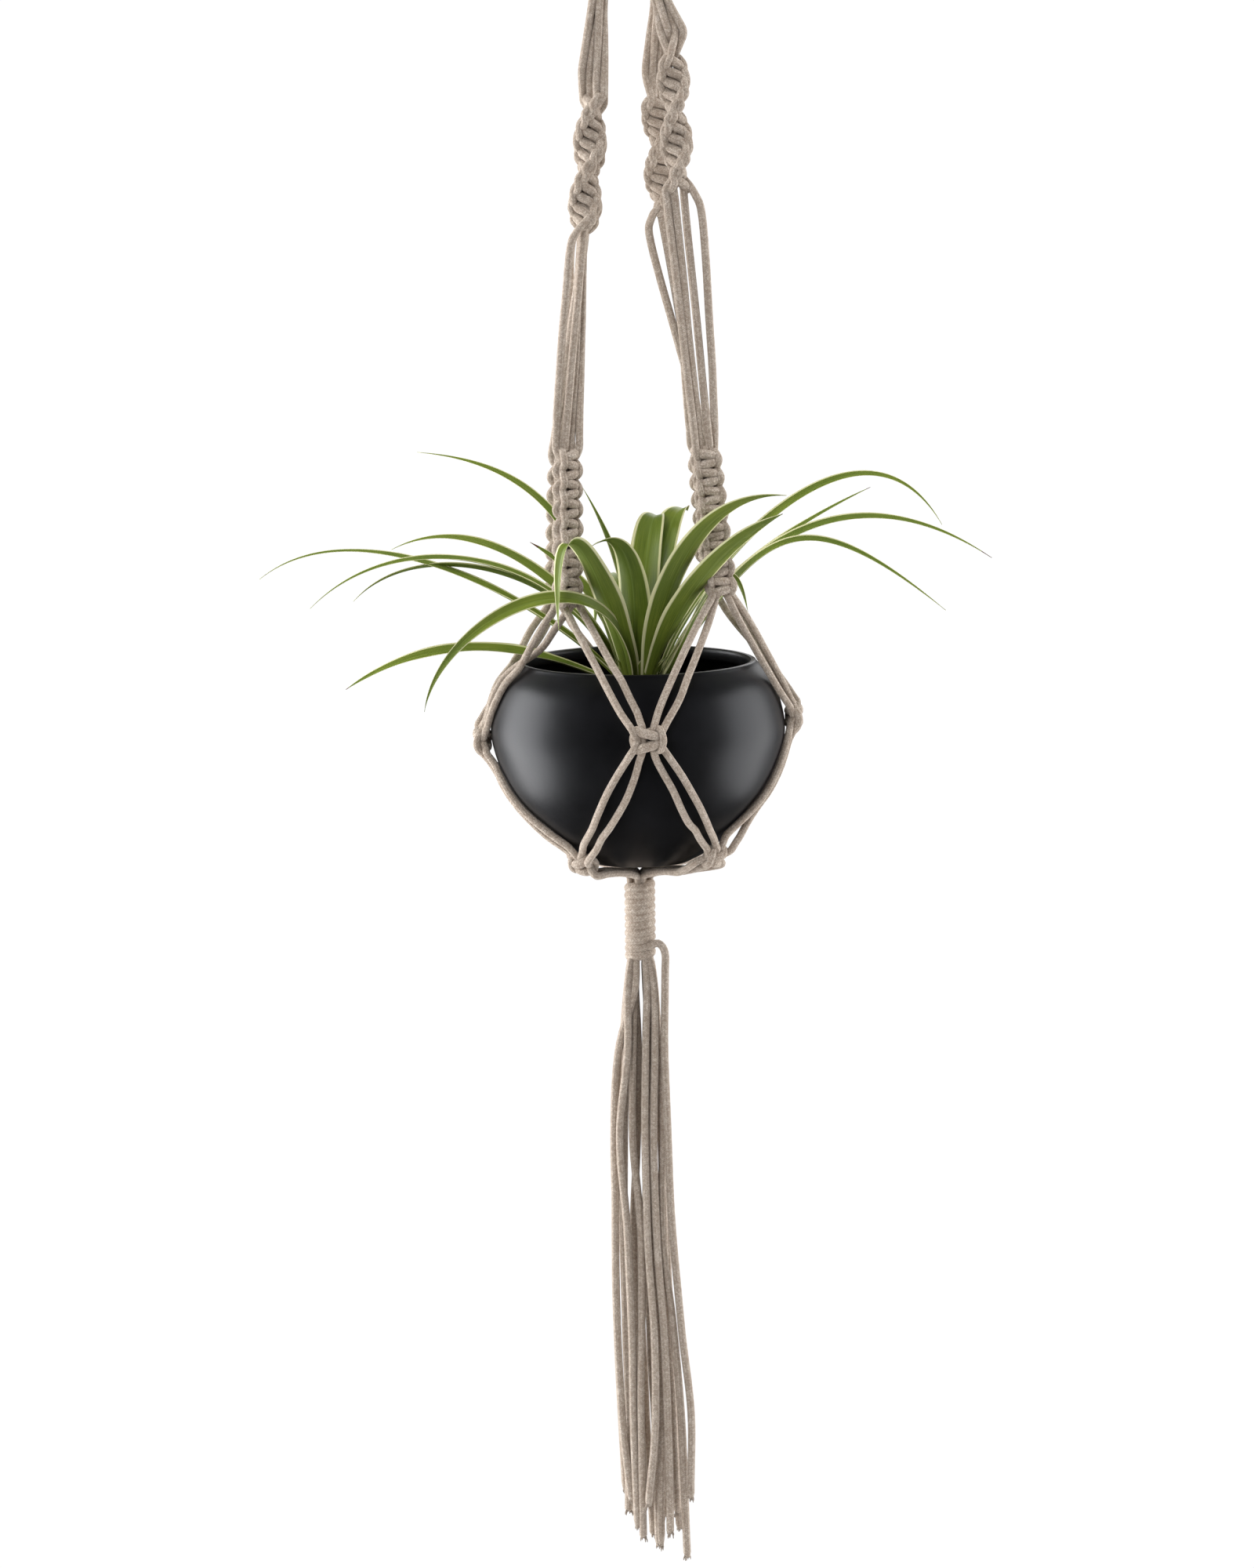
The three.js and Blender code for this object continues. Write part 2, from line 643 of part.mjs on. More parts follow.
for (const [name, arm] of Object.entries(ARMS)) {
  addPiece(planter, name + "_upper_cords", upperCords(arm), cotton);
  addPiece(planter, name + "_spiral_sinnet", spiralSinnet(arm), cotton);
  addPiece(planter, name + "_middle_cords", middleCords(arm), cotton);
  addPiece(planter, name + "_flat_sinnet", flatSinnet(arm), cotton);
  addPiece(planter, name + "_net_legs", netLegs(arm), cotton);
}

for (const [name, knot] of Object.entries(NET_KNOTS)) {
  addPiece(planter, name + "_net_knot", knotSolid(knot, NET_KNOT_SIZE), cotton);
  addPiece(planter, name + "_lower_legs", lowerLegs(name), cotton);
}
for (const [name, base] of Object.entries(BASE_KNOTS)) {
  addPiece(planter, name + "_base_knot", knotSolid(base, BASE_KNOT_SIZE), cotton);
  addPiece(planter, name + "_base_cords", baseCords(base), cotton);
}

const wrap = new THREE.Group();
wrap.position.z = WRAP.topZ;
planter.add(wrap);
addPiece(wrap, "gathering_wrap", gatheringWrap(), cotton);

const tassel = new THREE.Group();
tassel.position.z = TASSEL_TOP;
planter.add(tassel);
for (const [name, quarter] of Object.entries(TASSEL_CORDS)) {
  addPiece(tassel, name + "_tassel_cords", tasselCords(quarter), cotton);
}
addPiece(planter, "wrap_tail", cordAlong(WRAP_TAIL.map(vector), 9, 8), cotton);

const pot = new THREE.Group();
pot.position.z = POT.rimZ;
planter.add(pot);
addPiece(pot, "plant_pot", potShell(), blackGlaze);
addPiece(pot, "potting_soil", soilFill(), earth);
const crownHeight = CROWN.top + SOIL_DEPTH - GAP;
const crownShape = new THREE.CylinderGeometry(CROWN.topR, CROWN.r, crownHeight, CROWN.sides);
const crown = addPiece(pot, "plant_crown", crownShape, leafGreen);
crown.rotation.x = Math.PI / 2;
crown.position.z = CROWN.top - crownHeight / 2;
for (const [name, { base, blades }] of Object.entries(LEAVES)) {
  addPiece(pot, name, joined(blades.map((blade) => leafBlade(base, blade))), leafGreen);
}

export default planter;
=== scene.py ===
import math
import random

import bpy
import numpy as np
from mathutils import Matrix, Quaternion, Vector, noise


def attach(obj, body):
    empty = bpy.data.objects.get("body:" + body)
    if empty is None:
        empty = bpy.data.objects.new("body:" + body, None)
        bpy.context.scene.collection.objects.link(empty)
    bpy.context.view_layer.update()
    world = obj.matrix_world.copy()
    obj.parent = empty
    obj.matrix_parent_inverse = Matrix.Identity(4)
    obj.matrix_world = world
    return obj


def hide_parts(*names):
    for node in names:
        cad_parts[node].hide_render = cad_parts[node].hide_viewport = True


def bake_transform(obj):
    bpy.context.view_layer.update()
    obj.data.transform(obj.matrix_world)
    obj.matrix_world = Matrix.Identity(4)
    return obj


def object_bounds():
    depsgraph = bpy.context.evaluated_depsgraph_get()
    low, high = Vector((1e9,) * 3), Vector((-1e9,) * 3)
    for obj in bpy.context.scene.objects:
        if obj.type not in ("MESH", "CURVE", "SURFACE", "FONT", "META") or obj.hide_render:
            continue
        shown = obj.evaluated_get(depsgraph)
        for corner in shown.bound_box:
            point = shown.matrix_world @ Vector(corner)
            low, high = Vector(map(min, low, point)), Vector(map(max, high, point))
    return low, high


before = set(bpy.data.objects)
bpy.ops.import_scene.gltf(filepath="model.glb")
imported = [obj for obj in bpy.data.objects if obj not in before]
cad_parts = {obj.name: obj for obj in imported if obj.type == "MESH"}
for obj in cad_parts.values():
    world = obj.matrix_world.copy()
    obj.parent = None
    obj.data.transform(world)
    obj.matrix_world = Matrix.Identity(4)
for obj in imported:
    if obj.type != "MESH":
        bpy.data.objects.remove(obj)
CAD_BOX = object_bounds()
UP = Vector((0, 0, 1))
MM = 0.001
noise.seed_set(4)  # so that noise_vector gives the same unevenness each run

# ---- driving dimensions ----
CORD_R = 0.002
BAR_R = 1.18 * CORD_R  # a bar across a knot, flattened against its neighbours
TURN_R = 0.95 * CORD_R  # a working cord at a knot's side
FILLER_R = 0.60 * CORD_R  # the cords squeezed inside a knot
LEG_R = 0.94 * CORD_R  # the net's cords, drawn tight by the pot's weight
CORD_ROUND = 2 * math.pi * CORD_R
CORD_SIDES = 14

RING_R = 0.0225
WIRE_R = 0.0025
RING_CENTRE = WIRE_R - RING_R
RING_STEPS = 96
WIRE_SIDES = 20
FOLD_R = WIRE_R + 0.98 * CORD_R  # a folded cord's centre line round the wire
FOLD_FIRST = 7.2  # degrees from the ring's lowest point to the first fold
FOLD_STEP = 11.5
CORDS_PER_ARM = 4

# The free cords below the ring: their waist, the steps between neighbours there and above the knots, how far
# above the knots they spread, and how much deeper every other cord lies.
WAIST = (0.0153, 0.0088, -0.088)
WAIST_STEP = 0.0019
SPREAD_STEP = 0.0037
SPREAD_RISE = 0.013
STAGGER = 0.0017

RIM_Z = -0.424
# The pot's outside from the rim to the foot, as (radius, height from the rim).
POT_PROFILE = [
    (0.0606, 0),
    (0.069, -0.010),
    (0.0734, -0.023),
    (0.075, -0.034),
    (0.0732, -0.045),
    (0.0652, -0.065),
    (0.050, -0.084),
    (0.036, -0.0965),
    (0.026, -0.102),
]
POT_HEIGHT = 0.102
POT_WALL = 0.0034
# The rounded lip and the band below it, as (distance in from the rim's outside, height from the rim).
POT_LIP = [
    (0.0002, 0.0004),
    (0.0009, 0.0008),
    (0.0022, 0.0008),
    (0.0032, 0.0002),
    (0.0034, -0.0012),
    (0.0032, -0.0046),
    (0.0026, -0.0054),
]
LIP_END = -0.006
# The foot's hollow, as (radius, height above the foot).
POT_FOOT = [(0, 0.0006), (0.021, 0.0006), (0.0235, 0)]
LATHE_SIDES = 128

SOIL_DEPTH = 0.016
SOIL_R = POT_PROFILE[0][0] + 0.0035
SOIL_THICKNESS = 0.014
SOIL_RINGS = 40
SOIL_SIDES = 160
CRUMB_SIZE = 0.004
CRUMB_HEIGHT = 0.0016
NET_LIFT = CORD_R + 0.0002  # from the pot's surface to a net cord's centre line

WRAP_TOP = -0.5362
WRAP_TURNS = 10
WRAP_PITCH = 0.0039
WRAP_STEPS = 16
WRAP_START = 60  # degrees round the wrap to where the winding starts
WRAP_R = 0.0053
WRAP_CORD_R = 0.0027  # the winding, drawn flat by its tension
WRAP_CORE_R = 0.0046
WRAP_CORE = (-0.5375, -0.55, -0.565, -0.5745)
TASSEL_TOP = -0.5779
FRAY_STRANDS = 9
FRAY_LENGTH = 0.0033
FRAY_ROOT = 0.001
FRAY_R = 0.00035

# Half sizes across and deep, the slant of a bar (1 if not given), the height of one half knot (in a sinnet it
# follows from the sinnet's length), and where the outer and inner cords meet the knot.
SPIRAL = {"half_knots": 12, "width": 0.0062, "depth": 0.0021, "slant": 1.7, "mouth": (0.0060, 0.0028)}
FLAT = {"half_knots": 16, "width": 0.0055, "depth": 0.0029, "mouth": (0.0055, 0.0025)}
NET_KNOT = {"half_knots": 2, "width": 0.0068, "depth": 0.0025, "pitch": 0.0062, "mouth": (0.0086, 0.0029)}
BASE_KNOT = {"half_knots": 2, "width": 0.0056, "depth": 0.0025, "pitch": 0.0048, "mouth": (0.0078, 0.0014)}
SPIRAL_HALF_TURN = 0.0302  # the height in which a spiral sinnet turns half round
PAIR_GAP = 0.0094  # between the two cords of a net leg
LEG_SHARES = (0.08, 0.2, 0.35, 0.5, 0.65, 0.78, 0.88, 0.95)
# How far down a slack cord's free way its points lie, and how much of the slack each has.
SLACK_SHARES = ((0.02, 0.3), (0.055, 0.8), (0.1, 1.0), (0.35, 0.9), (0.7, 0.6), (0.92, 0.25))
ARM_PARTS = ("spiral_sinnet", "middle_cords", "flat_sinnet", "net_legs")

# Each arm: the spiral's and the flat sinnet's ends, the height at which the spiral faces the front, the way
# across the flat sinnet in degrees, the slack of one free cord, and the net knots that it goes to.
ARMS = {
    "front_left": {
        "side": -1,
        "spiral": [(-0.0187, -0.014, -0.138), (-0.0247, -0.020, -0.202)],
        "faces_front": -0.1588,
        "flat": [(-0.0336, -0.030, -0.313), (-0.0346, -0.036, -0.391)],
        "across": 50,
        "slack": (-0.0042, -0.001, 0),
        "knots": ("left", "front"),
    },
    "front_right": {
        "side": 1,
        "spiral": [(0.021, -0.013, -0.119), (0.0234, -0.019, -0.184)],
        "faces_front": -0.160,
        "flat": [(0.0352, -0.031, -0.314), (0.0427, -0.038, -0.386)],
        "across": 15,
        "slack": (0.0040, -0.002, 0),
        "knots": ("front", "right"),
    },
    "back_right": {
        "side": 1,
        "spiral": [(0.0132, 0.014, -0.140), (0.0155, 0.020, -0.197)],
        "faces_front": -0.148,
        "flat": [(0.034, 0.032, -0.318), (0.039, 0.039, -0.392)],
        "across": -60,
        "slack": (-0.005, 0.003, 0),
        "knots": ("right", "back"),
    },
    "back_left": {
        "side": -1,
        "spiral": [(-0.0186, 0.013, -0.142), (-0.0244, 0.020, -0.205)],
        "faces_front": -0.164,
        "flat": [(-0.037, 0.032, -0.322), (-0.040, 0.039, -0.400)],
        "across": 50,
        "slack": (-0.005, 0.004, 0),
        "knots": ("back", "left"),
    },
}

# The net's knots by bearing round the pot in degrees, radius and height. A base knot also names the two net
# knots above it.
NET_KNOTS = {
    "front": (273.5, 0.0794, -0.453),
    "right": (0, 0.0794, -0.453),
    "back": (88, 0.0794, -0.456),
    "left": (180, 0.0794, -0.463),
}
BASE_KNOTS = {
    "front_left": (227, 0.042, -0.523, ("left", "front")),
    "front_right": (322, 0.048, -0.520, ("front", "right")),
    "back_right": (44, 0.044, -0.522, ("right", "back")),
    "back_left": (136, 0.043, -0.5225, ("back", "left")),
}
BASE_KNOT_DOWN = (0.62, 0.78)  # a base knot's way in towards the axis, and down

# The cords' way in under the foot, as the radius, the height below the foot and the step between neighbours,
# and then down the wrap, as the height below the foot and the share of the cord's own radius.
FOOT_STATIONS = [(0.030, 0.0010, 0.0036), (0.020, 0.0018, 0.0031), (0.0115, 0.0034, 0.0026)]
WRAP_STATIONS = [(0.0062, 0.95), (0.0110, 0.8), (0.0180, 0.6), (0.0260, 0.6)]
PACKED_OUTSIDE = 0.0056
PACKED_INSIDE = 0.0030
PACKED_TURN = 22

# The tassel's cords by quarter, in millimetres: each cord's (x, y) at the drops below the wrap and at its
# end, and the drop of its end.
TASSEL_DROPS = [45, 90, 140, 190, 240]
TASSEL_CORDS = {
    "front_left": [
        ([(-11.6, -5), (-14.6, -4), (-14.5, -3), (-14.4, -3), (-12.5, -4), (-8, -5)], 285),
        ([(-7.8, -1.9), (-9.5, -1.2), (-10.2, 0.4), (-9.8, 0.6), (-9, 0), (-10, -1)], 291),
        ([(-7.2, -9), (-11.8, -9.2), (-8.5, -9), (-7.2, -8.5), (-6.5, -8), (-5, -8)], 298),
        ([(-4.4, -5), (-5.2, -5.5), (-1.5, -8), (-1.5, -8.6), (-2.5, -9.2), (-2, -9)], 303),
    ],
    "front_right": [
        ([(2.1, -9), (1.2, -11), (1.8, -11.8), (4.7, -12.4), (4.8, -12.8), (0.8, -13)], 285),
        ([(9.1, -4.5), (10.2, -6), (9.2, -8), (14.5, -8), (18.4, -7), (20.6, -6)], 315),
        ([(6.5, -9), (6, -10.5), (6.5, -11.5), (9.5, -11.5), (11.5, -11), (12, -10)], 301),
        ([(4.5, -4), (5, -5.5), (4.8, -6), (6.5, -6.5), (8, -7), (7, -7)], 308),
    ],
    "back_right": [
        ([(3, 9.5), (3.5, 12), (4.5, 12.5), (6, 12.5), (8, 11.5), (9.5, 10)], 297),
        ([(8.5, 1.5), (9.5, 0.5), (10.5, 0), (12, -0.5), (14, -0.5), (15.5, 0)], 293),
        ([(8.5, 6.5), (10, 7), (11.5, 7), (13, 6.5), (15, 6), (17, 6)], 303),
        ([(3.2, 2.4), (2.6, 3.2), (1, 4), (2.5, 4.5), (4.5, 4.5), (6, 4)], 311),
    ],
    "back_left": [
        ([(-3.5, 9), (-4, 11), (-3.5, 12), (-2, 12.5), (0, 12), (3, 11)], 307),
        ([(-9.5, 2.3), (-13.5, 2.4), (-15, 2.8), (-14.5, 3.2), (-13, 3), (-11, 3)], 281),
        ([(-9.5, 6.8), (-11.5, 7.2), (-11, 8), (-10, 8.5), (-8, 9), (-6, 9)], 295),
        ([(-1.9, 2.5), (-2.6, 3), (-5, 3.4), (-4.5, 3.2), (-3, 2.6), (-1, 2)], 289),
    ],
}
TASSEL_SIGNS = {"front_left": (-1, -1), "front_right": (1, -1), "back_right": (1, 1), "back_left": (-1, 1)}
TASSEL_NECK = [(0.0022, 0.005), (0.005, 0.0022), (0.0049, 0.0049), (0.0022, 0.0022)]
# A cord's start in the wrap: the share of its neck's distance from the axis, the drop in metres, and the
# share of its radius.
NECK_STATIONS = [(0.8, -0.004, 0.75), (1, 0, 0.9), (1.35, 0.014, 1)]
# The wrap's tail, in millimetres, from inside the winding to its end.
WRAP_TAIL = [
    (3, -5.2, -571.7), (6, -6.2, -569.2), (9.2, -6.2, -568.4), (11.7, -6.3, -570.7),
    (12.8, -6.5, -575.2), (12.6, -6.6, -580), (12.2, -7.6, -592), (11.5, -8.6, -623),
    (12.8, -10.2, -668), (14.7, -10, -718), (18.8, -10, -768), (23.4, -9.5, -818),
    (22.9, -10.6, -860),
]

# The leaves, in millimetres from the rim's centre: each piece's base, and for each blade its curve by two
# handles and a tip, half its width, its roll about its own line in degrees, its browned tip's share of the
# length, and its taper: 1 narrows evenly to the tip, and 5 stays broad almost to its end.
LEAVES = {
    "leaves_left_high": [
        (-8, 7, -9),
        ([(-26, 8, 53), (-36, 16, 99), (-112, 54, 103)], 4, -35, 0, 1.6),
        ([(-15, 16, 24), (-26, 20, 42), (-54, 24, 59)], 4.5, -30, 0.06, 3),
        ([(-27, 12, 32), (-77, 18, 80), (-125, 24, 56)], 5.6, -30, 0, 1.8),
    ],
    "leaves_left_long": [
        (-11, 0, -8),
        ([(-48, -2, 32), (-141, 4, 83), (-192, 12, 43)], 4.6, -25, 0, 1.3),
        ([(-34, -6, 57), (-120, -10, 75), (-165, -16, 31)], 4.8, -20, 0, 1.5),
        ([(-26, 3, 44), (-109, 6, 69), (-144, 4, 32)], 4.6, 35, 0, 1.8),
    ],
    "leaf_left_low": [
        (-18, 5, -9),
        ([(-61, 8, 9), (-104, 10, 15), (-149, 10, -14)], 4.4, -35, 0.02, 4),
    ],
    "leaves_front_arching": [
        (-4, -9, -8),
        ([(-11, -36, 33), (-41, -74, 119), (-39, -60, 24)], 8.5, 20, 0, 2),
        ([(0, -14, 12), (4, -34, 79), (-22, -42, 64)], 8.5, 25, 0, 3.5),
        ([(-8, -66, 73), (-98, -68, 35), (-107, -48, -18)], 5.4, -62, 0, 1.9),
    ],
    "leaves_centre_upright": [
        (3, 1, -8),
        ([(2, 6, 22), (6, 6, 82), (12, 36, 70)], 8.6, 0, 0, 8),
        ([(10, 12, 21), (15, 14, 86), (27, 46, 72)], 8.2, 0, 0, 8),
        ([(12, 0, 13), (13, -4, 35), (25, -6, 53)], 4, 50, 0, 2),
    ],
    "leaves_right_front": [
        (7, -9, -7),
        ([(11, -34, 36), (28, -62, 93), (75, -60, 90)], 8, -35, 0, 2.4),
        ([(19, -38, 33), (41, -60, 66), (73, -62, 81)], 6.6, -35, 0.01, 5),
    ],
    "leaf_right_high": [
        (12, 10, -9),
        ([(27, 14, 38), (113, 16, 141), (156, 10, 67)], 5, 35, 0, 2),
    ],
    "leaves_right_long": [
        (13, 2, -8),
        ([(33, 4, 37), (76, 2, 67), (119, -4, 88)], 3, 35, 0.02, 3),
        ([(53, -6, 61), (108, -8, 100), (180, -10, 52)], 5.4, 30, 0.03, 1.7),
    ],
    "leaves_right_low": [
        (14, -9, -7),
        ([(65, -16, 68), (80, -22, 89), (156, -22, 27)], 5, 30, 0, 1.4),
        ([(24, -24, 5), (46, -28, 81), (56, -28, 28)], 4, 35, 0, 2.2),
    ],
    "leaves_back_left": [
        (-3, 11, -9),
        ([(-1, 18, 26), (-10, 26, 57), (-27, 34, 86)], 3.4, -15, 0, 2),
        ([(-10, 42, 50), (-20, 84, 52), (-22, 112, 2)], 7, 20, 0, 1.8),
    ],
    "leaf_back_right": [
        (5, 13, -9),
        ([(12, 40, 56), (20, 84, 44), (22, 104, -4)], 7, -20, 0, 1.8),
    ],
}
LEAF_THICKNESS = 0.0005
LEAF_STEPS = 56
LEAF_SECTION = 9  # points across the blade on each face
CROWN_LEAVES = 14


# ---- camera ----
def add_camera():
    place = Vector((-0.0059, -2.9663, -0.0384))
    target = Vector((-0.0059, 0, -0.487))
    roll = -0.012
    data = bpy.data.cameras.new("camera")
    data.lens = 135
    data.sensor_width = 36
    camera = bpy.data.objects.new("camera", data)
    camera.location = place
    camera.rotation_mode = "QUATERNION"
    aim = (target - place).to_track_quat("-Z", "Y")
    camera.rotation_quaternion = aim @ Quaternion((0, 0, 1), roll)
    bpy.context.collection.objects.link(camera)
    bpy.context.scene.camera = camera


# ---- curves and tubes ----
SAMPLES = 12  # on each piece of a curve, before it is spaced evenly
CUT_END = 0.62  # the share of a cord's radius that its end rings have


def between(t, start, end, a, b):
    """From a at the time start to b at the time end."""
    return ((end - t) * a + (t - start) * b) / (end - start)


def smooth(points, spacing):
    """Even points along a centripetal Catmull-Rom curve. Values after x, y, z, such as a radius, go along."""
    p = np.array([tuple(q) for q in points], float)
    p = np.vstack([2 * p[0] - p[1], p, 2 * p[-1] - p[-2]])
    steps = np.sqrt(np.linalg.norm(np.diff(p[:, :3], axis=0), axis=1))
    knots = np.concatenate([[0.0], np.cumsum(steps)])
    pieces = []
    for i in range(1, len(p) - 2):
        t0, t1, t2, t3 = knots[i - 1 : i + 3]
        t = np.linspace(t1, t2, SAMPLES, endpoint=False)[:, None]
        a = between(t, t0, t1, p[i - 1], p[i])
        b = between(t, t1, t2, p[i], p[i + 1])
        c = between(t, t2, t3, p[i + 1], p[i + 2])
        d = between(t, t0, t2, a, b)
        e = between(t, t1, t3, b, c)
        pieces.append(between(t, t1, t2, d, e))
    curve = np.vstack([*pieces, p[-2:-1]])
    run = lengths(curve)
    at = np.linspace(0, run[-1], max(3, round(run[-1] / spacing) + 1))
    return np.stack([np.interp(at, run, curve[:, k]) for k in range(curve.shape[1])], axis=1)


def lengths(line):
    """The distance along the line at each of its points."""
    return np.concatenate([[0.0], np.cumsum(np.linalg.norm(np.diff(line[:, :3], axis=0), axis=1))])


def thinned(line, bend=math.radians(5), longest=0.004):
    """The line without the points that its straight stretches don't need."""
    keep = [0]
    tangents = directions(line)
    run = lengths(line)
    for i in range(1, len(line) - 1):
        turned = math.acos(max(-1, min(1, float(tangents[i] @ tangents[keep[-1]]))))
        if turned > bend or run[i] - run[keep[-1]] > longest:
            keep.append(i)
    return line[[*keep, len(line) - 1]]


def directions(line):
    tangents = np.gradient(line[:, :3], axis=0)
    return tangents / np.linalg.norm(tangents, axis=1)[:, None]


def carried_sides(tangents, first):
    """A direction square to the line at each point, carried along it without twisting."""
    side = np.array(first, float)
    sides = []
    for tangent in tangents:
        side = side - tangent * (side @ tangent)
        side = side / np.linalg.norm(side)
        sides.append(side)
    return np.array(sides)


def new_object(name, vertices, faces, material):
    """A smooth object of one material, linked into the scene."""
    mesh = bpy.data.meshes.new(name)
    mesh.from_pydata(vertices, [], faces)
    mesh.shade_smooth()
    mesh.materials.append(material)
    obj = bpy.data.objects.new(name, mesh)
    bpy.context.collection.objects.link(obj)
    return obj


class Shell:
    """Closed rings joined into one mesh, with its own UV map and a tone for each of its parts."""

    def __init__(self):
        self.vertices = []
        self.faces = []
        self.uvs = []
        self.tones = []

    def add_rings(self, rings, along, tone=0.0, across=None):
        """rings is (count, sides, 3), along is the second UV value of each ring, and across is the first UV
        value of each side. Both ends are capped."""
        count, sides, _ = rings.shape
        base = len(self.vertices)
        self.vertices.extend(map(tuple, rings.reshape(-1, 3)))
        self.tones.extend([tone] * (count * sides))
        across = across or [k / sides for k in range(sides + 1)]
        for i in range(count - 1):
            for k in range(sides):
                n = (k + 1) % sides
                low, high = base + i * sides, base + (i + 1) * sides
                self.faces.append((low + k, low + n, high + n, high + k))
                left, right = across[k], across[k + 1]
                start, end = along[i], along[i + 1]
                self.uvs.extend([(left, start), (right, start), (right, end), (left, end)])
        for start, order, v in ((base, -1, along[0]), (base + (count - 1) * sides, 1, along[-1])):
            self.faces.append(tuple(start + k for k in range(sides))[::order])
            self.uvs.extend([(across[k], v) for k in range(sides)][::order])

    def add_tube(self, line, start_at=0.0):
        """line is (count, 4): a point and a radius for each ring. start_at is where the weave's UV starts."""
        tangents = directions(line)
        first = (0.3, 1, 0.1) if abs(tangents[0][1]) < 0.8 else (1, 0.2, 0.1)
        sides = carried_sides(tangents, first)
        ups = np.cross(tangents, sides)
        angles = np.linspace(0, 2 * math.pi, CORD_SIDES, endpoint=False)
        cosines, sines = (wave(angles)[None, :, None] for wave in (np.cos, np.sin))
        section = cosines * sides[:, None] + sines * ups[:, None]
        rings = line[:, None, :3] + section * line[:, 3][:, None, None]
        self.add_rings(rings, lengths(line) / CORD_ROUND + start_at)

    def add_object(self, name, material):
        obj = new_object(name, self.vertices, self.faces, material)
        layer = obj.data.uv_layers.new(name="weave")
        layer.data.foreach_set("uv", np.array(self.uvs, np.float32).ravel())
        tone = obj.data.attributes.new("tone", "FLOAT", "POINT")
        tone.data.foreach_set("value", np.array(self.tones, np.float32))
        return obj


def rounded_ends(line):
    """The line with its first and last rings drawn in, so that a cut end isn't a sharp disc."""
    line = line.copy()
    line[[0, -1], 3] *= CUT_END
    return line


def wandered(line, seed, amount=0.00035, wave=0.03):
    """The line with the small unevenness of hand work, the same each run."""
    moved = line.copy()
    for i, row in enumerate(line):
        place = Vector(row[:3]) / wave + Vector((seed * 3.7, seed * 1.3, 0))
        moved[i, :3] += amount * np.array(noise.noise_vector(place))
    return moved


def cord_object(name, points, material, seed):
    line = thinned(wandered(smooth(points, 0.0009), seed))
    shell = Shell()
    shell.add_tube(rounded_ends(line), start_at=seed * 0.37)
    return shell.add_object(name, material)


# ---- knots, in their local frames ----
# A working cord's way over one half knot: across towards its end side, deep towards the bar's side, down in
# half knots from the bar, and its radius there.
BAR = [
    (-0.80, -0.10, 0.36, TURN_R),
    (-0.42, 0.85, 0.12, BAR_R),
    (0.0, 1.0, 0.0, BAR_R),
    (0.42, 0.85, -0.12, BAR_R),
    (0.80, -0.10, -0.36, TURN_R),
]
# Its way round the side to the next bar: across, the shares of this bar's and the next bar's face in how deep
# it lies, and down.
BETWEEN = [(0.98, 0.7, 0, 0.05), (1.06, 0.5, 0.5, 0.50), (0.98, 0, 0.95, 0.95)]
FILLER_ACROSS = 0.3  # of a knot's half width
END_R = 0.9 * CORD_R  # a cord where it enters or leaves its knots


def working_cord(faces, starts, knot):
    """Local points of a working cord. faces holds -1 for each bar at the front and 1 at the back, and starts
    holds the side that each bar starts from."""
    width, depth = knot["width"], knot["depth"]
    slant = knot.get("slant", 1)
    points = [(starts[0] * knot["mouth"][0], -0.9 * faces[0] * depth, -0.5, TURN_R)]
    for h, (face, start) in enumerate(zip(faces, starts)):
        points += [(-start * x * width, face * y * depth, h + slant * s, radius) for x, y, s, radius in BAR]
        following = faces[h + 1] if h + 1 < len(faces) else face
        for x, this, then, s in BETWEEN:
            deep = -this * face - then * following
            points.append((-start * x * width, deep * depth, h + s, TURN_R))
    x, y, s, radius = points[-2]
    return [*points[:-2], (math.copysign(max(abs(x), knot["mouth"][0]), x), y, s, radius)]


def filler_cord(side, knot):
    """Local points of a cord that runs straight through the knots."""
    last = knot["half_knots"] - 0.5
    mouth = side * knot["mouth"][1]
    across = FILLER_ACROSS * side * knot["width"]
    inside = [(across, 0, s, FILLER_R) for s in (0.2, (last - 0.5) / 2, last - 0.7)]
    return [(mouth, 0, -0.5, END_R), *inside, (mouth, 0, last, END_R)]


def tied(faces, starts, knot):
    """Local paths of two working cords that mirror each other and of the two cords straight through them."""
    return [
        working_cord(faces, starts, knot),
        working_cord([-face for face in faces], [-start for start in starts], knot),
        filler_cord(-1, knot),
        filler_cord(1, knot),
    ]


def in_turn(first, count):
    return [first * (-1) ** h for h in range(count)]


def spiral_knots(knot):
    """Half knots all tied the same way: each cord's bars lie at the front and at the back in turn."""
    faces = in_turn(-1, knot["half_knots"])
    return tied(faces, [-face for face in faces], knot)


def square_knots(knot, start):
    """Square knots: one working cord keeps its bars at the front and the other at the back."""
    count = knot["half_knots"]
    return tied([-1] * count, in_turn(start, count), knot)


def set_in_place(paths, top, down, pitch, across_at):
    """World points of local paths. across_at gives the direction across the knot at a point on its axis."""
    placed = []
    for path in paths:
        points = []
        for x, y, s, radius in path:
            on_axis = top + down * (pitch * (s + 0.5))
            across = across_at(on_axis)
            across = (across - down * across.dot(down)).normalized()
            deep = across.cross(down)
            points.append((*(on_axis + across * x + deep * y), radius))
        placed.append(points)
    return placed


def around(degrees):
    return Vector((math.cos(math.radians(degrees)), math.sin(math.radians(degrees)), 0))


# ---- the way of the cords ----
def sinnet(ends, knot, paths, across_at):
    """The paths of a sinnet's knots in place between its two ends."""
    top, end = map(Vector, ends)
    pitch = (end - top).length / knot["half_knots"]
    return set_in_place(paths, top, (end - top).normalized(), pitch, across_at)


def spiral_paths(arm):
    def across_at(place):
        return around(180 * (place.z - arm["faces_front"]) / SPIRAL_HALF_TURN)

    return sinnet(arm["spiral"], SPIRAL, spiral_knots(SPIRAL), across_at)


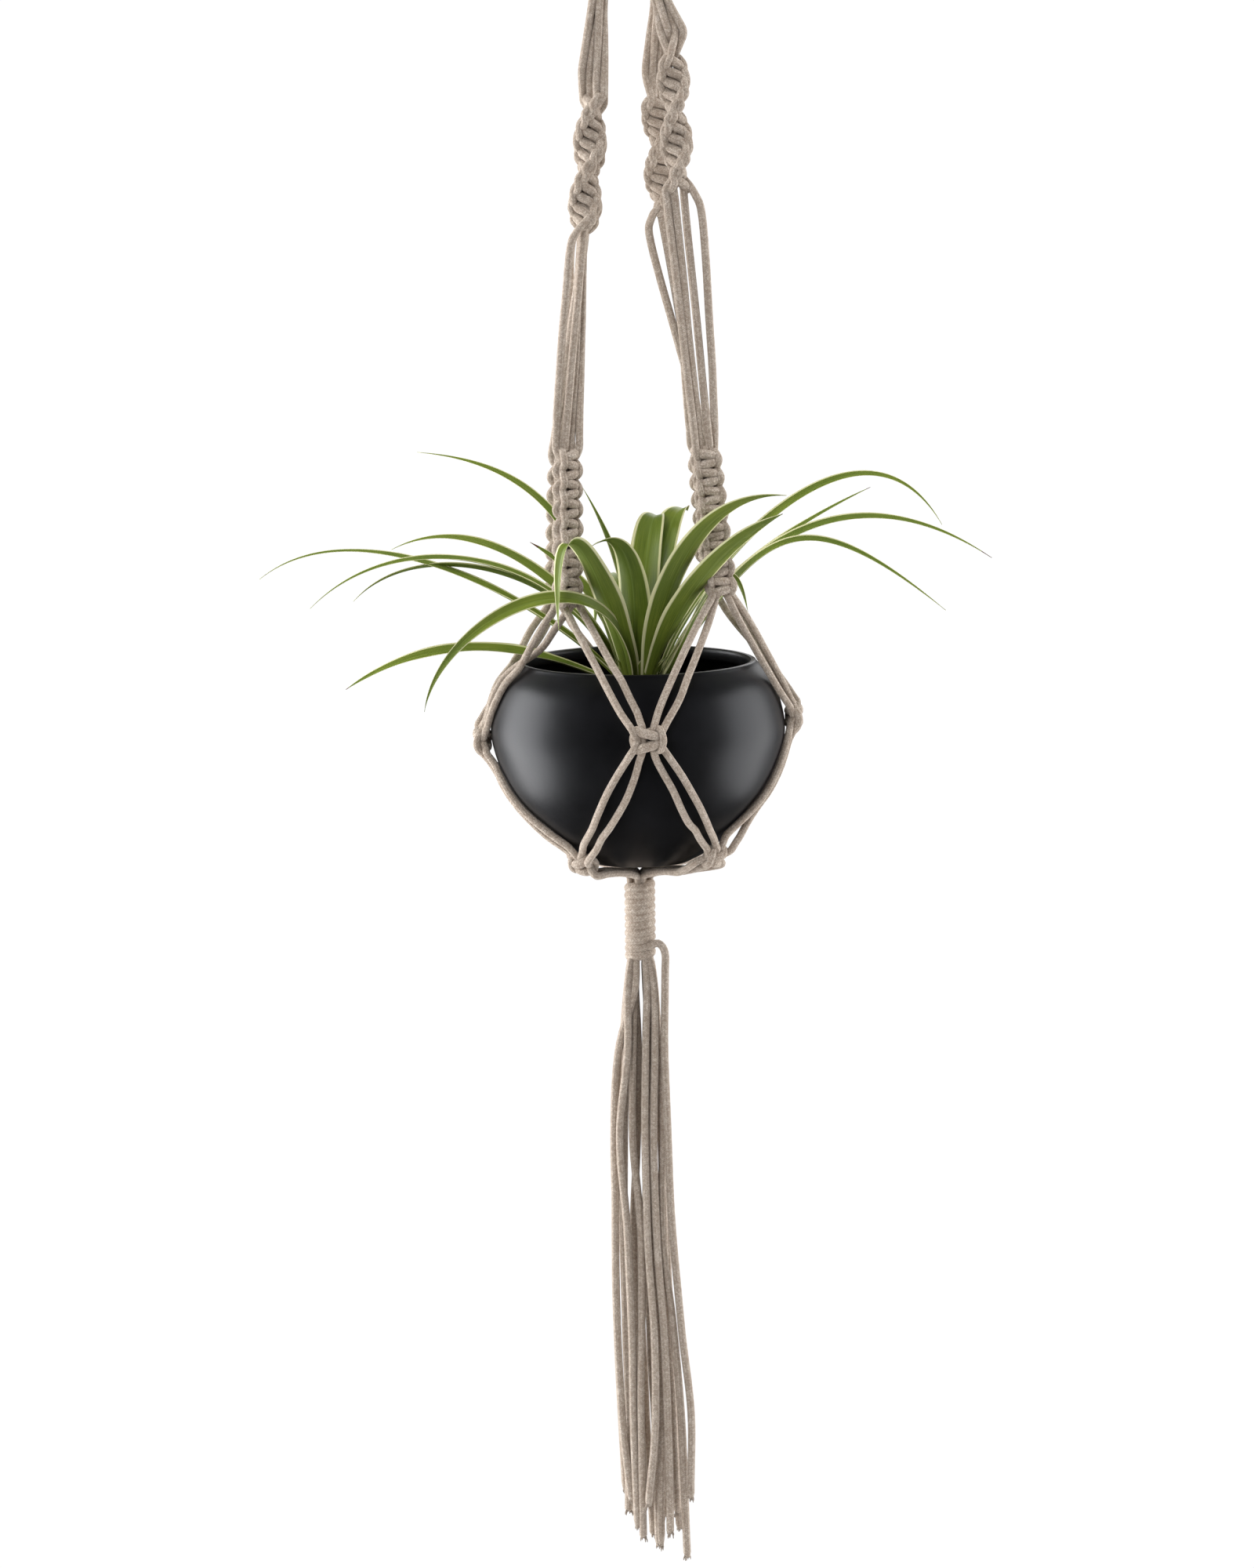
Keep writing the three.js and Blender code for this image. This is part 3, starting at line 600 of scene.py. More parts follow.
def flat_paths(arm):
    return sinnet(arm["flat"], FLAT, square_knots(FLAT, arm["side"]), lambda place: around(arm["across"]))


def first_of(path):
    return Vector(path[0][:3])


def last_of(path):
    return Vector(path[-1][:3])


def arm_routes(arm):
    """The arm's four cords from the spiral's top to the flat sinnet's end. One hangs slack between them."""
    direction = around(arm["across"])
    starts = sorted(spiral_paths(arm), key=lambda path: last_of(path).dot(direction))
    ends = sorted(flat_paths(arm), key=lambda path: first_of(path).dot(direction))
    slack = Vector(arm["slack"])
    loose = max(range(CORDS_PER_ARM), key=lambda i: last_of(starts[i]).dot(slack))
    routes = []
    for i, (start, end) in enumerate(zip(starts, ends)):
        middle = []
        for share, give in SLACK_SHARES:
            point = last_of(start).lerp(first_of(end), share)
            if i == loose:
                point += slack * give
            middle.append((*point, CORD_R))
        routes.append(start + middle + end)
    return routes


# The pot's profile in even steps, and the direction square to it and away from the pot at each of them.
POT_OUTLINE = smooth([(r, z, 0) for r, z in POT_PROFILE], 0.002)[:, :2]
ALONG_POT = np.gradient(POT_OUTLINE, axis=0)
ALONG_POT /= np.linalg.norm(ALONG_POT, axis=1)[:, None]
OUT_OF_POT = np.stack([-ALONG_POT[:, 1], ALONG_POT[:, 0]], axis=1)


def over_pot(point):
    """The point, moved straight off the pot's surface if it lies inside it or touches it."""
    out = math.hypot(point.x, point.y)
    here = np.array((out, point.z - RIM_Z))
    nearest = int(np.argmin(np.linalg.norm(POT_OUTLINE - here, axis=1)))
    lift = (here - POT_OUTLINE[nearest]) @ OUT_OF_POT[nearest]
    if lift >= NET_LIFT or here[1] > NET_LIFT:
        return point
    r, z = POT_OUTLINE[nearest] + NET_LIFT * OUT_OF_POT[nearest]
    return Vector((point.x * r / out, point.y * r / out, z + RIM_Z))


def leg_pair(starts, finishes, eases):
    """The points of two cords that run side by side, PAIR_GAP apart, over the pot from one knot to the next.
    eases holds the shares of the way over which they part and come together."""
    legs = ([], [])
    for share in LEG_SHARES:
        a, b = (start.lerp(finish, share) for start, finish in zip(starts, finishes))
        apart = Vector((b.x - a.x, b.y - a.y, 0))
        more = max(0, PAIR_GAP - apart.length) / 2
        ease = min(1, share / eases[0], (1 - share) / eases[1])
        shift = apart.normalized() * (more * ease)
        for leg, point in zip(legs, (a - shift, b + shift)):
            leg.append((*over_pot(point), LEG_R))
    return legs


def knot_on_pot(place, down, knot, start):
    """A square knot by its bearing, radius and height, with the front of its local frame facing outwards."""
    bearing, radius, z = place
    across = UP.cross(around(bearing))
    top = around(bearing) * radius + UP * z - down * knot["pitch"]
    return set_in_place(square_knots(knot, start), top, down, knot["pitch"], lambda on_axis: across)


def net_knot_paths(name):
    return knot_on_pot(NET_KNOTS[name], -UP, NET_KNOT, 1 if name in ("front", "left") else -1)


def base_knot_paths(name):
    """These knots lean in under the pot."""
    inwards, downwards = BASE_KNOT_DOWN
    down = (-inwards * around(BASE_KNOTS[name][0]) - downwards * UP).normalized()
    return knot_on_pot(BASE_KNOTS[name][:3], down, BASE_KNOT, -1)


def turn_to(a, b):
    """The shortest turn in degrees from bearing a to bearing b."""
    return (b - a + 540) % 360 - 180


def bearing_of(point):
    return math.degrees(math.atan2(point[1], point[0]))


def handed_on(routes_of, bearings, knots, neighbours):
    """The cords that arrive at each of the knots. Each arm or knot above, at its bearing, hands its two cords
    on either side to the neighbour on that side."""
    arriving = {name: [] for name in knots}
    for above, routes in routes_of.items():
        centre = bearings[above]
        routes = sorted(routes, key=lambda route: turn_to(centre, bearing_of(route[-1])))
        for pair, way in ((routes[:2], -1), (routes[2:], 1)):
            name = next(k for k in neighbours[above] if way * turn_to(centre, knots[k][0]) > 0)
            arriving[name] += pair
    return arriving


def net_routes(arms):
    """All sixteen cords down through the net knots: a dict of net knot name to its four routes."""
    bearings = {name: bearing_of(arm["flat"][1]) for name, arm in ARMS.items()}
    neighbours = {name: arm["knots"] for name, arm in ARMS.items()}
    arriving = handed_on(arms, bearings, NET_KNOTS, neighbours)
    return {
        name: through_knot(routes, net_knot_paths(name), NET_KNOTS[name][0], eases=(0.25, 0.15))
        for name, routes in arriving.items()
    }


def through_knot(routes, paths, bearing, eases):
    """The routes led over the pot to a knot at that bearing and through it, without crossing."""
    across = UP.cross(around(bearing))
    routes = sorted(routes, key=lambda route: last_of(route).dot(across))
    paths = sorted(paths, key=lambda path: first_of(path).dot(across))
    starts = [last_of(route) for route in routes]
    finishes = [first_of(path) for path in paths]
    left_legs = leg_pair(starts[:2], finishes[:2], eases)
    right_legs = leg_pair(starts[2:], finishes[2:], eases)
    return [route + leg + path for route, leg, path in zip(routes, (*left_legs, *right_legs), paths)]


def base_routes(nets):
    """From the net knots over the pot's lower half, through the base knots and under the foot to the wrap."""
    bearings = {name: row[0] for name, row in NET_KNOTS.items()}
    neighbours = {name: [k for k, row in BASE_KNOTS.items() if name in row[3]] for name in NET_KNOTS}
    arriving = handed_on(nets, bearings, BASE_KNOTS, neighbours)
    led = {}
    for name, routes in arriving.items():
        bearing = BASE_KNOTS[name][0]
        routes = through_knot(routes, base_knot_paths(name), bearing, eases=(0.2, 0.12))
        led[name] = [route + under_foot(bearing, i) for i, route in enumerate(routes)]
    return led


def under_foot(bearing, order):
    """From a base knot in under the pot's foot and down into the wrap, where all the cords fill a round."""
    across = UP.cross(around(bearing))
    offset = order - (CORDS_PER_ARM - 1) / 2
    foot = RIM_Z - POT_HEIGHT - CORD_R
    points = []
    for out, drop, step in FOOT_STATIONS:
        place = around(bearing) * out + across * (offset * step) + UP * (foot - drop)
        points.append((*place, CORD_R))
    outermost = order in (0, CORDS_PER_ARM - 1)
    packed = around(bearing + PACKED_TURN * offset) * (PACKED_OUTSIDE if outermost else PACKED_INSIDE)
    for drop, share in WRAP_STATIONS:
        place = packed * (0.5 + 0.5 * share) + UP * (foot - drop)
        points.append((*place, share * CORD_R))
    return points


# ---- cord pieces ----
def add_folded_cords(material, arms):
    """Each cord lies doubled over the ring's wire and runs down into a front and a back arm."""
    for side, label in ((-1, "left"), (1, "right")):
        ends, tops = {}, {}
        for depth, front in ((-1, "front"), (1, "back")):
            routes = arms[f"{front}_{label}"]
            tops[depth] = Vector(ARMS[f"{front}_{label}"]["spiral"][0])
            ends[depth] = sorted(routes, key=lambda r: side * r[0][0] + 0.2 * depth * r[0][1])
        for i in range(CORDS_PER_ARM):
            angle = side * math.radians(FOLD_FIRST + FOLD_STEP * i)
            outward = Vector((math.sin(angle), 0, -math.cos(angle)))
            wire = Vector((0, 0, RING_CENTRE)) + outward * RING_R
            loop = []
            for turn in range(-90, 91, 30):
                point = wire - outward * (FOLD_R * math.cos(math.radians(turn)))
                point.y = FOLD_R * math.sin(math.radians(turn))
                loop.append((*point, CORD_R))
            front_end, back_end = ends[-1][i][:4], ends[1][i][:4]
            points = [
                *tucked(front_end)[::-1],
                *free_stretch(wire, side, -1, i, tops[-1], front_end[0])[::-1],
                *loop,
                *free_stretch(wire, side, 1, i, tops[1], back_end[0]),
                *tucked(back_end),
            ]
            cord = cord_object(f"{label}_folded_cord_{i + 1}", points, material, seed=20 + i + 5 * side)
            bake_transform(cord)
            upper = [f"{front}_{label}_upper_cords" for front in ("front", "back")]
            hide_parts(f"{label}_cord_folds", *upper)


def tucked(points):
    """The end of a folded cord inside the first knot, where the arm's own cord lies round it."""
    return [(x, y, z, 0.9 * radius) for x, y, z, radius in points]


def free_stretch(wire, side, depth, order, top, end):
    """From beside the wire down to the knots: drawn together half way, then spread just above the knots."""
    row = order - (CORDS_PER_ARM - 1) / 2
    stagger = STAGGER * (-1) ** order
    start = Vector((wire.x, depth * FOLD_R, wire.z - 0.005))
    waist = Vector((side * (WAIST[0] + WAIST_STEP * row), depth * WAIST[1] + stagger, WAIST[2]))
    spread = Vector((top.x + side * SPREAD_STEP * row, top.y + 0.3 * stagger, top.z + SPREAD_RISE))
    knot = Vector(end[:3])
    way = [start, waist.lerp(start, 0.5), waist, waist.lerp(spread, 0.6), spread, spread.lerp(knot, 0.6)]
    return [(*point, CORD_R) for point in way]


def add_harness_cords(material, bases):
    """The sixteen cords from the spirals down to the wrap, each one tube."""
    for name, routes in bases.items():
        knots = BASE_KNOTS[name][3]
        arms = [arm for arm, row in ARMS.items() if set(row["knots"]) & set(knots)]
        nodes = [f"{arm}_{part}" for arm in arms for part in ARM_PARTS]
        nodes += [f"{knot}_{part}" for knot in knots for part in ("net_knot", "lower_legs")]
        nodes += [f"{name}_base_knot", f"{name}_base_cords"]
        for i, route in enumerate(routes):
            cord = cord_object(f"{name}_harness_cord_{i + 1}", route, material, seed=40 + 7 * i + len(name))
            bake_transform(cord)
            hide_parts(*nodes)


def add_wrap(material):
    """The gathering wrap: one cord wound round all the others, with its start tucked under the top turn."""
    tucked_r = 0.8 * CORD_R
    points = [(0.002, 0.0035, WRAP_TOP - 0.012, tucked_r), (0.003, 0.0048, WRAP_TOP - 0.003, tucked_r)]
    for i in range(WRAP_TURNS * WRAP_STEPS + 1):
        angle = math.radians(WRAP_START) - 2 * math.pi * i / WRAP_STEPS
        z = WRAP_TOP - 0.9 * CORD_R - WRAP_PITCH * i / WRAP_STEPS
        points.append((WRAP_R * math.cos(angle), WRAP_R * math.sin(angle), z, WRAP_CORD_R))
    wrap = cord_object("wrap_winding", points, material, seed=3)
    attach(wrap, "wrap")
    core = Shell()
    core.add_tube(rounded_ends(smooth([(0, 0, z, WRAP_CORE_R) for z in WRAP_CORE], 0.004)))
    inside = core.add_object("wrap_inner_cords", material)
    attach(inside, "wrap")
    return wrap, inside


def add_tassel(material):
    """The sixteen cords that hang from the wrap, and the wrap's own tail beside them."""
    for quarter, rows in TASSEL_CORDS.items():
        for i, (places, length) in enumerate(rows):
            neck = [value * sign for value, sign in zip(TASSEL_NECK[i], TASSEL_SIGNS[quarter])]
            points = []
            for share, drop, thickness in NECK_STATIONS:
                points.append((share * neck[0], share * neck[1], TASSEL_TOP - drop, thickness * CORD_R))
            for (x, y), drop in zip(places, [*TASSEL_DROPS, length]):
                points.append((x * MM, y * MM, TASSEL_TOP - drop * MM, CORD_R))
            name, seed = f"{quarter}_tassel_cord_{i + 1}", 60 + 9 * i + len(quarter)
            hang_cord(name, points, material, seed, f"{quarter}_tassel_cords")
    tail = [(x * MM, y * MM, z * MM, CORD_R) for x, y, z in WRAP_TAIL]
    hang_cord("wrap_tail_cord", tail, material, 99, "wrap_tail")


def add_fray(shell, line, seed):
    """Short loose strands at a cord's cut end."""
    rng = random.Random(seed)
    end = line[-1, :3]
    down = directions(line)[-1]
    for _ in range(FRAY_STRANDS):
        out = np.array([rng.uniform(-1, 1), rng.uniform(-1, 1), rng.uniform(-0.3, 0.3)])
        root = end + 0.6 * CORD_R * out - FRAY_ROOT * down
        reach = FRAY_LENGTH * rng.uniform(0.5, 1)
        tip = root + reach * (down + 0.35 * out)
        middle = root + 0.5 * reach * (down + 0.6 * out)
        strand = smooth([(*root, FRAY_R), (*middle, FRAY_R), (*tip, 0.5 * FRAY_R)], 0.001)
        shell.add_tube(strand)


def hang_cord(name, points, material, seed, node):
    """A free cord that hangs from the wrap, with frayed strands at its end."""
    line = thinned(wandered(smooth(points, 0.0015), seed, amount=0.0005, wave=0.05), longest=0.005)
    shell = Shell()
    shell.add_tube(rounded_ends(line), start_at=seed * 0.37)
    add_fray(shell, line, seed)
    cord = shell.add_object(name, material)
    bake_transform(cord)
    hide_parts(node)


# ---- ring, pot and soil ----
def add_ring(material):
    vertices, faces = [], []
    for i in range(RING_STEPS):
        a = 2 * math.pi * i / RING_STEPS
        this, following = i * WIRE_SIDES, (i + 1) % RING_STEPS * WIRE_SIDES
        for k in range(WIRE_SIDES):
            b = 2 * math.pi * k / WIRE_SIDES
            r = RING_R + WIRE_R * math.cos(b)
            n = (k + 1) % WIRE_SIDES
            vertices.append((r * math.sin(a), WIRE_R * math.sin(b), RING_CENTRE - r * math.cos(a)))
            faces.append((this + k, this + n, following + n, following + k))
    ring = new_object("metal_ring", vertices, faces, material)
    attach(ring, "ring")
    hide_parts("hanging_ring")


def lathe(name, profile, material, sides=LATHE_SIDES):
    """A turned solid: the profile is (radius, height) pairs and starts and ends on the axis."""
    vertices, faces, rings = [], [], []
    for r, z in profile:
        if r < 1e-6:
            rings.append([len(vertices)] * sides)
            vertices.append((0, 0, z))
            continue
        rings.append(list(range(len(vertices), len(vertices) + sides)))
        for k in range(sides):
            a = 2 * math.pi * k / sides
            vertices.append((r * math.cos(a), r * math.sin(a), z))
    for low, high in zip(rings, rings[1:]):
        for k in range(sides):
            n = (k + 1) % sides
            face = list(dict.fromkeys([low[k], low[n], high[n], high[k]]))
            if len(face) > 2:
                faces.append(face)
    return new_object(name, vertices, faces, material)


def add_pot(material):
    inside = POT_OUTLINE - POT_WALL * OUT_OF_POT
    inner = [tuple(p) for p in inside if -POT_HEIGHT + 2 * POT_WALL < p[1] < LIP_END]
    floor = -POT_HEIGHT + POT_WALL
    profile = [
        *((r, z - POT_HEIGHT) for r, z in POT_FOOT),
        *map(tuple, POT_OUTLINE[::-1]),
        *((POT_PROFILE[0][0] - inwards, z) for inwards, z in POT_LIP),
        *inner,
        (inner[-1][0] * 0.8, floor),
        (0, floor),
    ]
    pot = lathe("glazed_pot", [(r, z + RIM_Z) for r, z in profile], material)
    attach(pot, "harness")
    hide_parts("plant_pot")


def add_soil(material):
    """A disc of soil with crumbs and a low mound, both fading out at the pot's wall."""
    rings = [(SOIL_R * r / SOIL_RINGS, -SOIL_DEPTH) for r in range(SOIL_RINGS + 1)]
    bottom = [(SOIL_R - 0.001, -SOIL_DEPTH - 0.012), (0, -SOIL_DEPTH - SOIL_THICKNESS)]
    profile = [(r, z + RIM_Z) for r, z in [*rings, *bottom]][::-1]
    soil = lathe("crumbly_soil", profile, material, sides=SOIL_SIDES)
    for vertex in soil.data.vertices:
        if vertex.co.z > RIM_Z - SOIL_DEPTH - 0.001:
            r = math.hypot(vertex.co.x, vertex.co.y)
            fade = min(1, (SOIL_R - r) / 0.004)
            crumbs = CRUMB_HEIGHT * noise.fractal(vertex.co / CRUMB_SIZE, 0.8, 2.1, 5)
            mound = 0.003 * noise.noise(vertex.co / 0.03) - 0.0025 * (r / SOIL_R) ** 4
            vertex.co.z += fade * (crumbs + mound)
    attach(soil, "harness")
    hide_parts("potting_soil")


# ---- the plant ----
def blade_rings(curve, half_width, roll, taper, seed):
    """The rings of a V-folded blade along a cubic curve, broad near the base and pointed at the tip, with the
    share of the blade's length at each. The curve is from the rim's centre, by its ends and two handles."""
    p0, p1, p2, p3 = curve
    points = []
    for t in (i / LEAF_STEPS for i in range(LEAF_STEPS + 1)):
        points.append(p0 * (1 - t) ** 3 + p1 * 3 * t * (1 - t) ** 2 + p2 * 3 * t * t * (1 - t) + p3 * t**3)
    line = smooth([(*p, 0) for p in points], (p3 - p0).length / LEAF_STEPS)[:, :3]
    tangents = directions(line)
    plan = Vector((p3.x - p0.x, p3.y - p0.y, 0)).normalized()
    sideways = np.array(UP.cross(plan))
    run = lengths(line) / lengths(line)[-1]
    stations = np.linspace(-1, 1, LEAF_SECTION)
    rings = []
    for point, tangent, t in zip(line, tangents, run):
        up = np.cross(tangent, sideways)
        up /= np.linalg.norm(up)
        level = np.cross(up, tangent)
        angle = math.radians(roll) * min(1, 0.25 + 1.1 * t)
        side = level * math.cos(angle) + up * math.sin(angle)
        face = up * math.cos(angle) - level * math.sin(angle)
        swell = 0.55 + 0.45 * min(1, t / 0.35) ** 0.8
        half = half_width * swell * max(0.02, 1 - t**taper)
        fold = 0.62 * (1 - 0.5 * t)
        wave = 0.2 * half * noise.noise(Vector((t * 6, seed * 5.1, 0.5)))
        lift = fold * half * np.abs(stations) ** 1.3 + wave * stations * np.abs(stations)
        top = point + np.outer(half * stations, side) + np.outer(lift, face)
        thick = LEAF_THICKNESS * (1 - 0.5 * t)
        edge = 0.35 + 0.65 * np.sqrt(1 - stations**2)
        under = top - np.outer(thick * edge, face)
        rings.append(np.vstack([top, under[::-1]]))
    return np.array(rings) + np.array((0, 0, RIM_Z)), run


def blade_across():
    """The first UV value round a blade: over its face from edge to edge and back along its underside."""
    face = [k / (LEAF_SECTION - 1) for k in range(LEAF_SECTION)]
    return [*face, *face[::-1], 0.0]


def add_leaves(material):
    for number, (name, (base, *blades)) in enumerate(LEAVES.items()):
        shell = Shell()
        for i, (handles, half_width, roll, brown, taper) in enumerate(blades):
            curve = [Vector(p) * MM for p in (base, *handles)]
            seed = number + 0.37 * i
            rings, run = blade_rings(curve, half_width * MM, roll, taper, seed)
            shell.add_rings(rings, run, tone=brown, across=blade_across())
        leaf = shell.add_object(f"{name}_blades", material)
        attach(leaf, "harness")
        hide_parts(name)


def add_crown(material):
    """The leaf bases packed together where the plant leaves the soil."""
    shell = Shell()
    rng = random.Random(8)
    for i in range(CROWN_LEAVES):
        out = around(360 * i / CROWN_LEAVES + rng.uniform(-8, 8))
        reach = rng.uniform(0.8, 1.2)
        curve = [
            out * 0.004 + UP * (-SOIL_DEPTH - 0.002),
            out * 0.006 + UP * (-SOIL_DEPTH + 0.004),
            out * (0.008 * reach) + UP * (-SOIL_DEPTH + 0.010),
            out * (0.013 * reach) + UP * (-SOIL_DEPTH + 0.016 * reach),
        ]
        rings, run = blade_rings(curve, half_width=0.005, roll=0, taper=2.5, seed=i)
        shell.add_rings(rings, run * 0.5, across=blade_across())
    crown = shell.add_object("leaf_bases", material)
    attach(crown, "harness")
    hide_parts("plant_crown")


# ---- materials ----
class Shading:
    """A material's nodes, built in few words."""

    def __init__(self, name):
        self.material = bpy.data.materials.new(name)
        self.material.use_nodes = True
        self.tree = self.material.node_tree
        self.surface = self.tree.nodes["Principled BSDF"]

    def node(self, kind, **settings):
        made = self.tree.nodes.new(kind)
        for key, value in settings.items():
            setattr(made, key, value)
        return made

    def put(self, value, socket):
        """A number or a colour is set on the socket itself, and another node's output is linked to it."""
        if isinstance(value, bpy.types.NodeSocket):
            self.tree.links.new(value, socket)
        elif isinstance(value, tuple) and socket.type == "RGBA":
            socket.default_value = (*value, 1)
        else:
            socket.default_value = value

    def math(self, operation, *inputs):
        made = self.node("ShaderNodeMath", operation=operation)
        for socket, value in zip(made.inputs, inputs):
            self.put(value, socket)
        return made.outputs[0]

    def times(self, a, b):
        return self.math("MULTIPLY", a, b)

    def plus(self, a, b):
        return self.math("ADD", a, b)

    def minus(self, a, b):
        return self.math("SUBTRACT", a, b)

    def noise(self, scale, detail=3, roughness=0.5, vector=None):
        made = self.node("ShaderNodeTexNoise")
        vector = vector or self.node("ShaderNodeTexCoord").outputs["Object"]
        values = {"Scale": scale, "Detail": detail, "Roughness": roughness, "Vector": vector}
        for name, value in values.items():
            self.put(value, made.inputs[name])
        return made.outputs["Fac"]

    def ramp(self, value, *stops):
        made = self.node("ShaderNodeValToRGB")
        stops_of = made.color_ramp.elements
        while len(stops_of) < len(stops):
            stops_of.new(0.5)
        for stop, (place, colour) in zip(stops_of, stops):
            stop.position = place
            stop.color = (*colour, 1)
        self.put(value, made.inputs["Fac"])
        return made.outputs["Color"]

    def mix(self, share, a, b, mode="MIX"):
        made = self.node("ShaderNodeMix", data_type="RGBA", blend_type=mode)
        for index, value in ((0, share), (6, a), (7, b)):
            self.put(value, made.inputs[index])
        return made.outputs[2]

    def uv(self):
        """The mesh's own UV map, as its two values and as a vector."""
        made = self.node("ShaderNodeUVMap", uv_map="weave")
        parts = self.node("ShaderNodeSeparateXYZ")
        self.put(made.outputs["UV"], parts.inputs[0])
        return parts.outputs[0], parts.outputs[1], made.outputs["UV"]

    def scaled(self, vector, scale):
        made = self.node("ShaderNodeMapping")
        self.put(vector, made.inputs["Vector"])
        self.put(scale, made.inputs["Scale"])
        return made.outputs["Vector"]

    def bump(self, height, strength, distance):
        made = self.node("ShaderNodeBump")
        for name, value in (("Strength", strength), ("Distance", distance), ("Height", height)):
            self.put(value, made.inputs[name])
        self.set(Normal=made.outputs["Normal"])

    def set(self, **values):
        """Values for the shader's own inputs."""
        for key, value in values.items():
            self.put(value, self.surface.inputs[key.replace("_", " ")])


def cotton_material():
    """Braided cotton cord: columns of slanted stitches round the cord, uneven in tone, with a soft nap. The
    grooves between stitches and the small gaps of the braid are darkened with painted shade.
    """
    s = Shading("braided_cotton")
    u, v, _ = s.uv()
    column = s.math("PINGPONG", s.times(u, 8.0), 0.5)
    stitch = s.math("FRACT", s.plus(s.times(v, 11.0), s.times(column, 1.7)))
    ridge = s.math("SINE", s.times(stitch, math.pi))
    seam = s.math("SMOOTH_MIN", s.times(column, 5.0), 1.0, 0.2)
    groove = s.plus(s.times(seam, 0.6), 0.4)
    strand = s.times(s.math("POWER", ridge, 0.6), groove)
    fibres = s.noise(2600, 3, 0.6)
    blotches = s.noise(190, 4, 0.6)
    gap_shade_specks = s.ramp(s.noise(850, 4, 0.75), (0.45, (1, 1, 1)), (0.58, (0, 0, 0)))
    tone = s.ramp(
        blotches,
        (0.30, (0.50, 0.41, 0.335)),
        (0.52, (0.64, 0.55, 0.465)),
        (0.72, (0.76, 0.68, 0.60)),
    )
    # painted shade: where the strand height is low, in the grooves between stitches and between columns, the
    # colour is darkened towards dark brown
    painted_groove_shade = s.mix(s.times(s.minus(1.0, strand), 0.8), tone, (0.20, 0.145, 0.105))
    flecked = s.mix(s.times(fibres, 0.3), painted_groove_shade, (0.84, 0.77, 0.69))
    # painted shade: dark specks stand for the shade in the braid's small gaps
    with_gap_shade = s.mix(s.times(gap_shade_specks, 0.6), flecked, (0.27, 0.20, 0.15))
    s.bump(s.plus(strand, s.times(fibres, 0.5)), 0.75, 0.00035)
    s.set(Base_Color=with_gap_shade, Roughness=0.93, Specular_IOR_Level=0.15)
    s.set(Sheen_Weight=0.22, Sheen_Roughness=0.45, Sheen_Tint=(1.0, 0.95, 0.88))
    return s.material


def brass_material():
    """Brushed brass: fine scratches, and a colour that is a little worn in places."""
    s = Shading("brushed_brass")
    scratches = s.noise(900, 4, 0.7)
    wear = s.noise(60, 3, 0.5)
    colour = s.ramp(wear, (0.35, (0.62, 0.40, 0.15)), (0.7, (0.80, 0.57, 0.26)))
    s.bump(scratches, 0.12, 0.0001)
    s.set(Base_Color=colour, Roughness=s.plus(s.times(scratches, 0.2), 0.32), Metallic=0.8)
    return s.material


def glaze_material():
    """Black satin glaze, faintly clouded in colour and gloss."""
    s = Shading("black_satin_glaze")
    cloud = s.noise(38, 4, 0.55)
    grain = s.noise(1500, 3, 0.6)
    colour = s.ramp(cloud, (0.3, (0.0035, 0.0035, 0.0042)), (0.75, (0.009, 0.009, 0.011)))
    rough = s.plus(s.times(cloud, 0.10), s.plus(s.times(grain, 0.05), 0.30))
    s.bump(s.plus(s.times(grain, 0.5), cloud), 0.05, 0.0005)
    s.set(Base_Color=colour, Roughness=rough, IOR=1.5, Specular_Tint=(0.93, 0.95, 1.0))
    return s.material


def soil_material():
    """Dark potting soil with paler crumbs and damp patches."""
    s = Shading("dark_soil")
    crumbs = s.noise(700, 5, 0.7)
    damp = s.noise(90, 3, 0.5)
    colour = s.ramp(
        crumbs,
        (0.3, (0.010, 0.007, 0.005)),
        (0.6, (0.040, 0.026, 0.017)),
        (0.8, (0.10, 0.07, 0.05)),
    )
    patched = s.mix(s.times(damp, 0.5), colour, (0.008, 0.005, 0.004))
    s.bump(crumbs, 0.9, 0.0012)
    s.set(Base_Color=patched, Roughness=0.96, Specular_IOR_Level=0.2)
    return s.material


def leaf_material():
    """Spider plant: a green middle with fine stripes, cream margins, and a browned tip on some leaves."""
    s = Shading("striped_leaf")
    u, v, uv = s.uv()
    streaks = s.noise(1.0, 3, 0.6, s.scaled(uv, (60, 2.5, 1)))
    veins = s.noise(1.0, 2, 0.5, s.scaled(uv, (150, 5, 1)))
    from_middle = s.times(s.math("ABSOLUTE", s.minus(u, 0.5)), 2.0)
    drift = s.times(s.minus(streaks, 0.5), 0.22)
    edge = s.plus(from_middle, drift)
    margin = s.ramp(edge, (0.80, (0, 0, 0)), (0.86, (1, 1, 1)))
    green = s.ramp(
        veins,
        (0.28, (0.075, 0.115, 0.014)),
        (0.52, (0.158, 0.212, 0.029)),
        (0.75, (0.31, 0.36, 0.075)),
    )
    blotches = s.noise(26, 3, 0.5)
    depth = s.ramp(blotches, (0.3, (0.70, 0.78, 0.7)), (0.7, (1.15, 1.12, 1.0)))
    green = s.mix(1.0, green, depth, "MULTIPLY")
    midrib = s.ramp(from_middle, (0.0, (1, 1, 1)), (0.06, (0, 0, 0)))
    green = s.mix(s.times(midrib, 0.35), green, (0.26, 0.36, 0.11))
    cream = s.mix(s.times(veins, 0.5), (0.72, 0.70, 0.42), (0.55, 0.58, 0.27))
    striped = s.mix(margin, green, cream)
    tone = s.node("ShaderNodeAttribute", attribute_name="tone").outputs["Fac"]
    ragged = s.plus(v, s.times(s.minus(blotches, 0.5), 0.05))
    browned = s.math("GREATER_THAN", ragged, s.minus(1.0, tone))
    browned = s.times(browned, s.math("GREATER_THAN", tone, 0.001))
    s.bump(veins, 0.3, 0.0001)
    colour = s.mix(browned, striped, (0.13, 0.065, 0.028))
    s.set(Base_Color=colour, Roughness=0.42, Specular_IOR_Level=0.45)
    return s.material


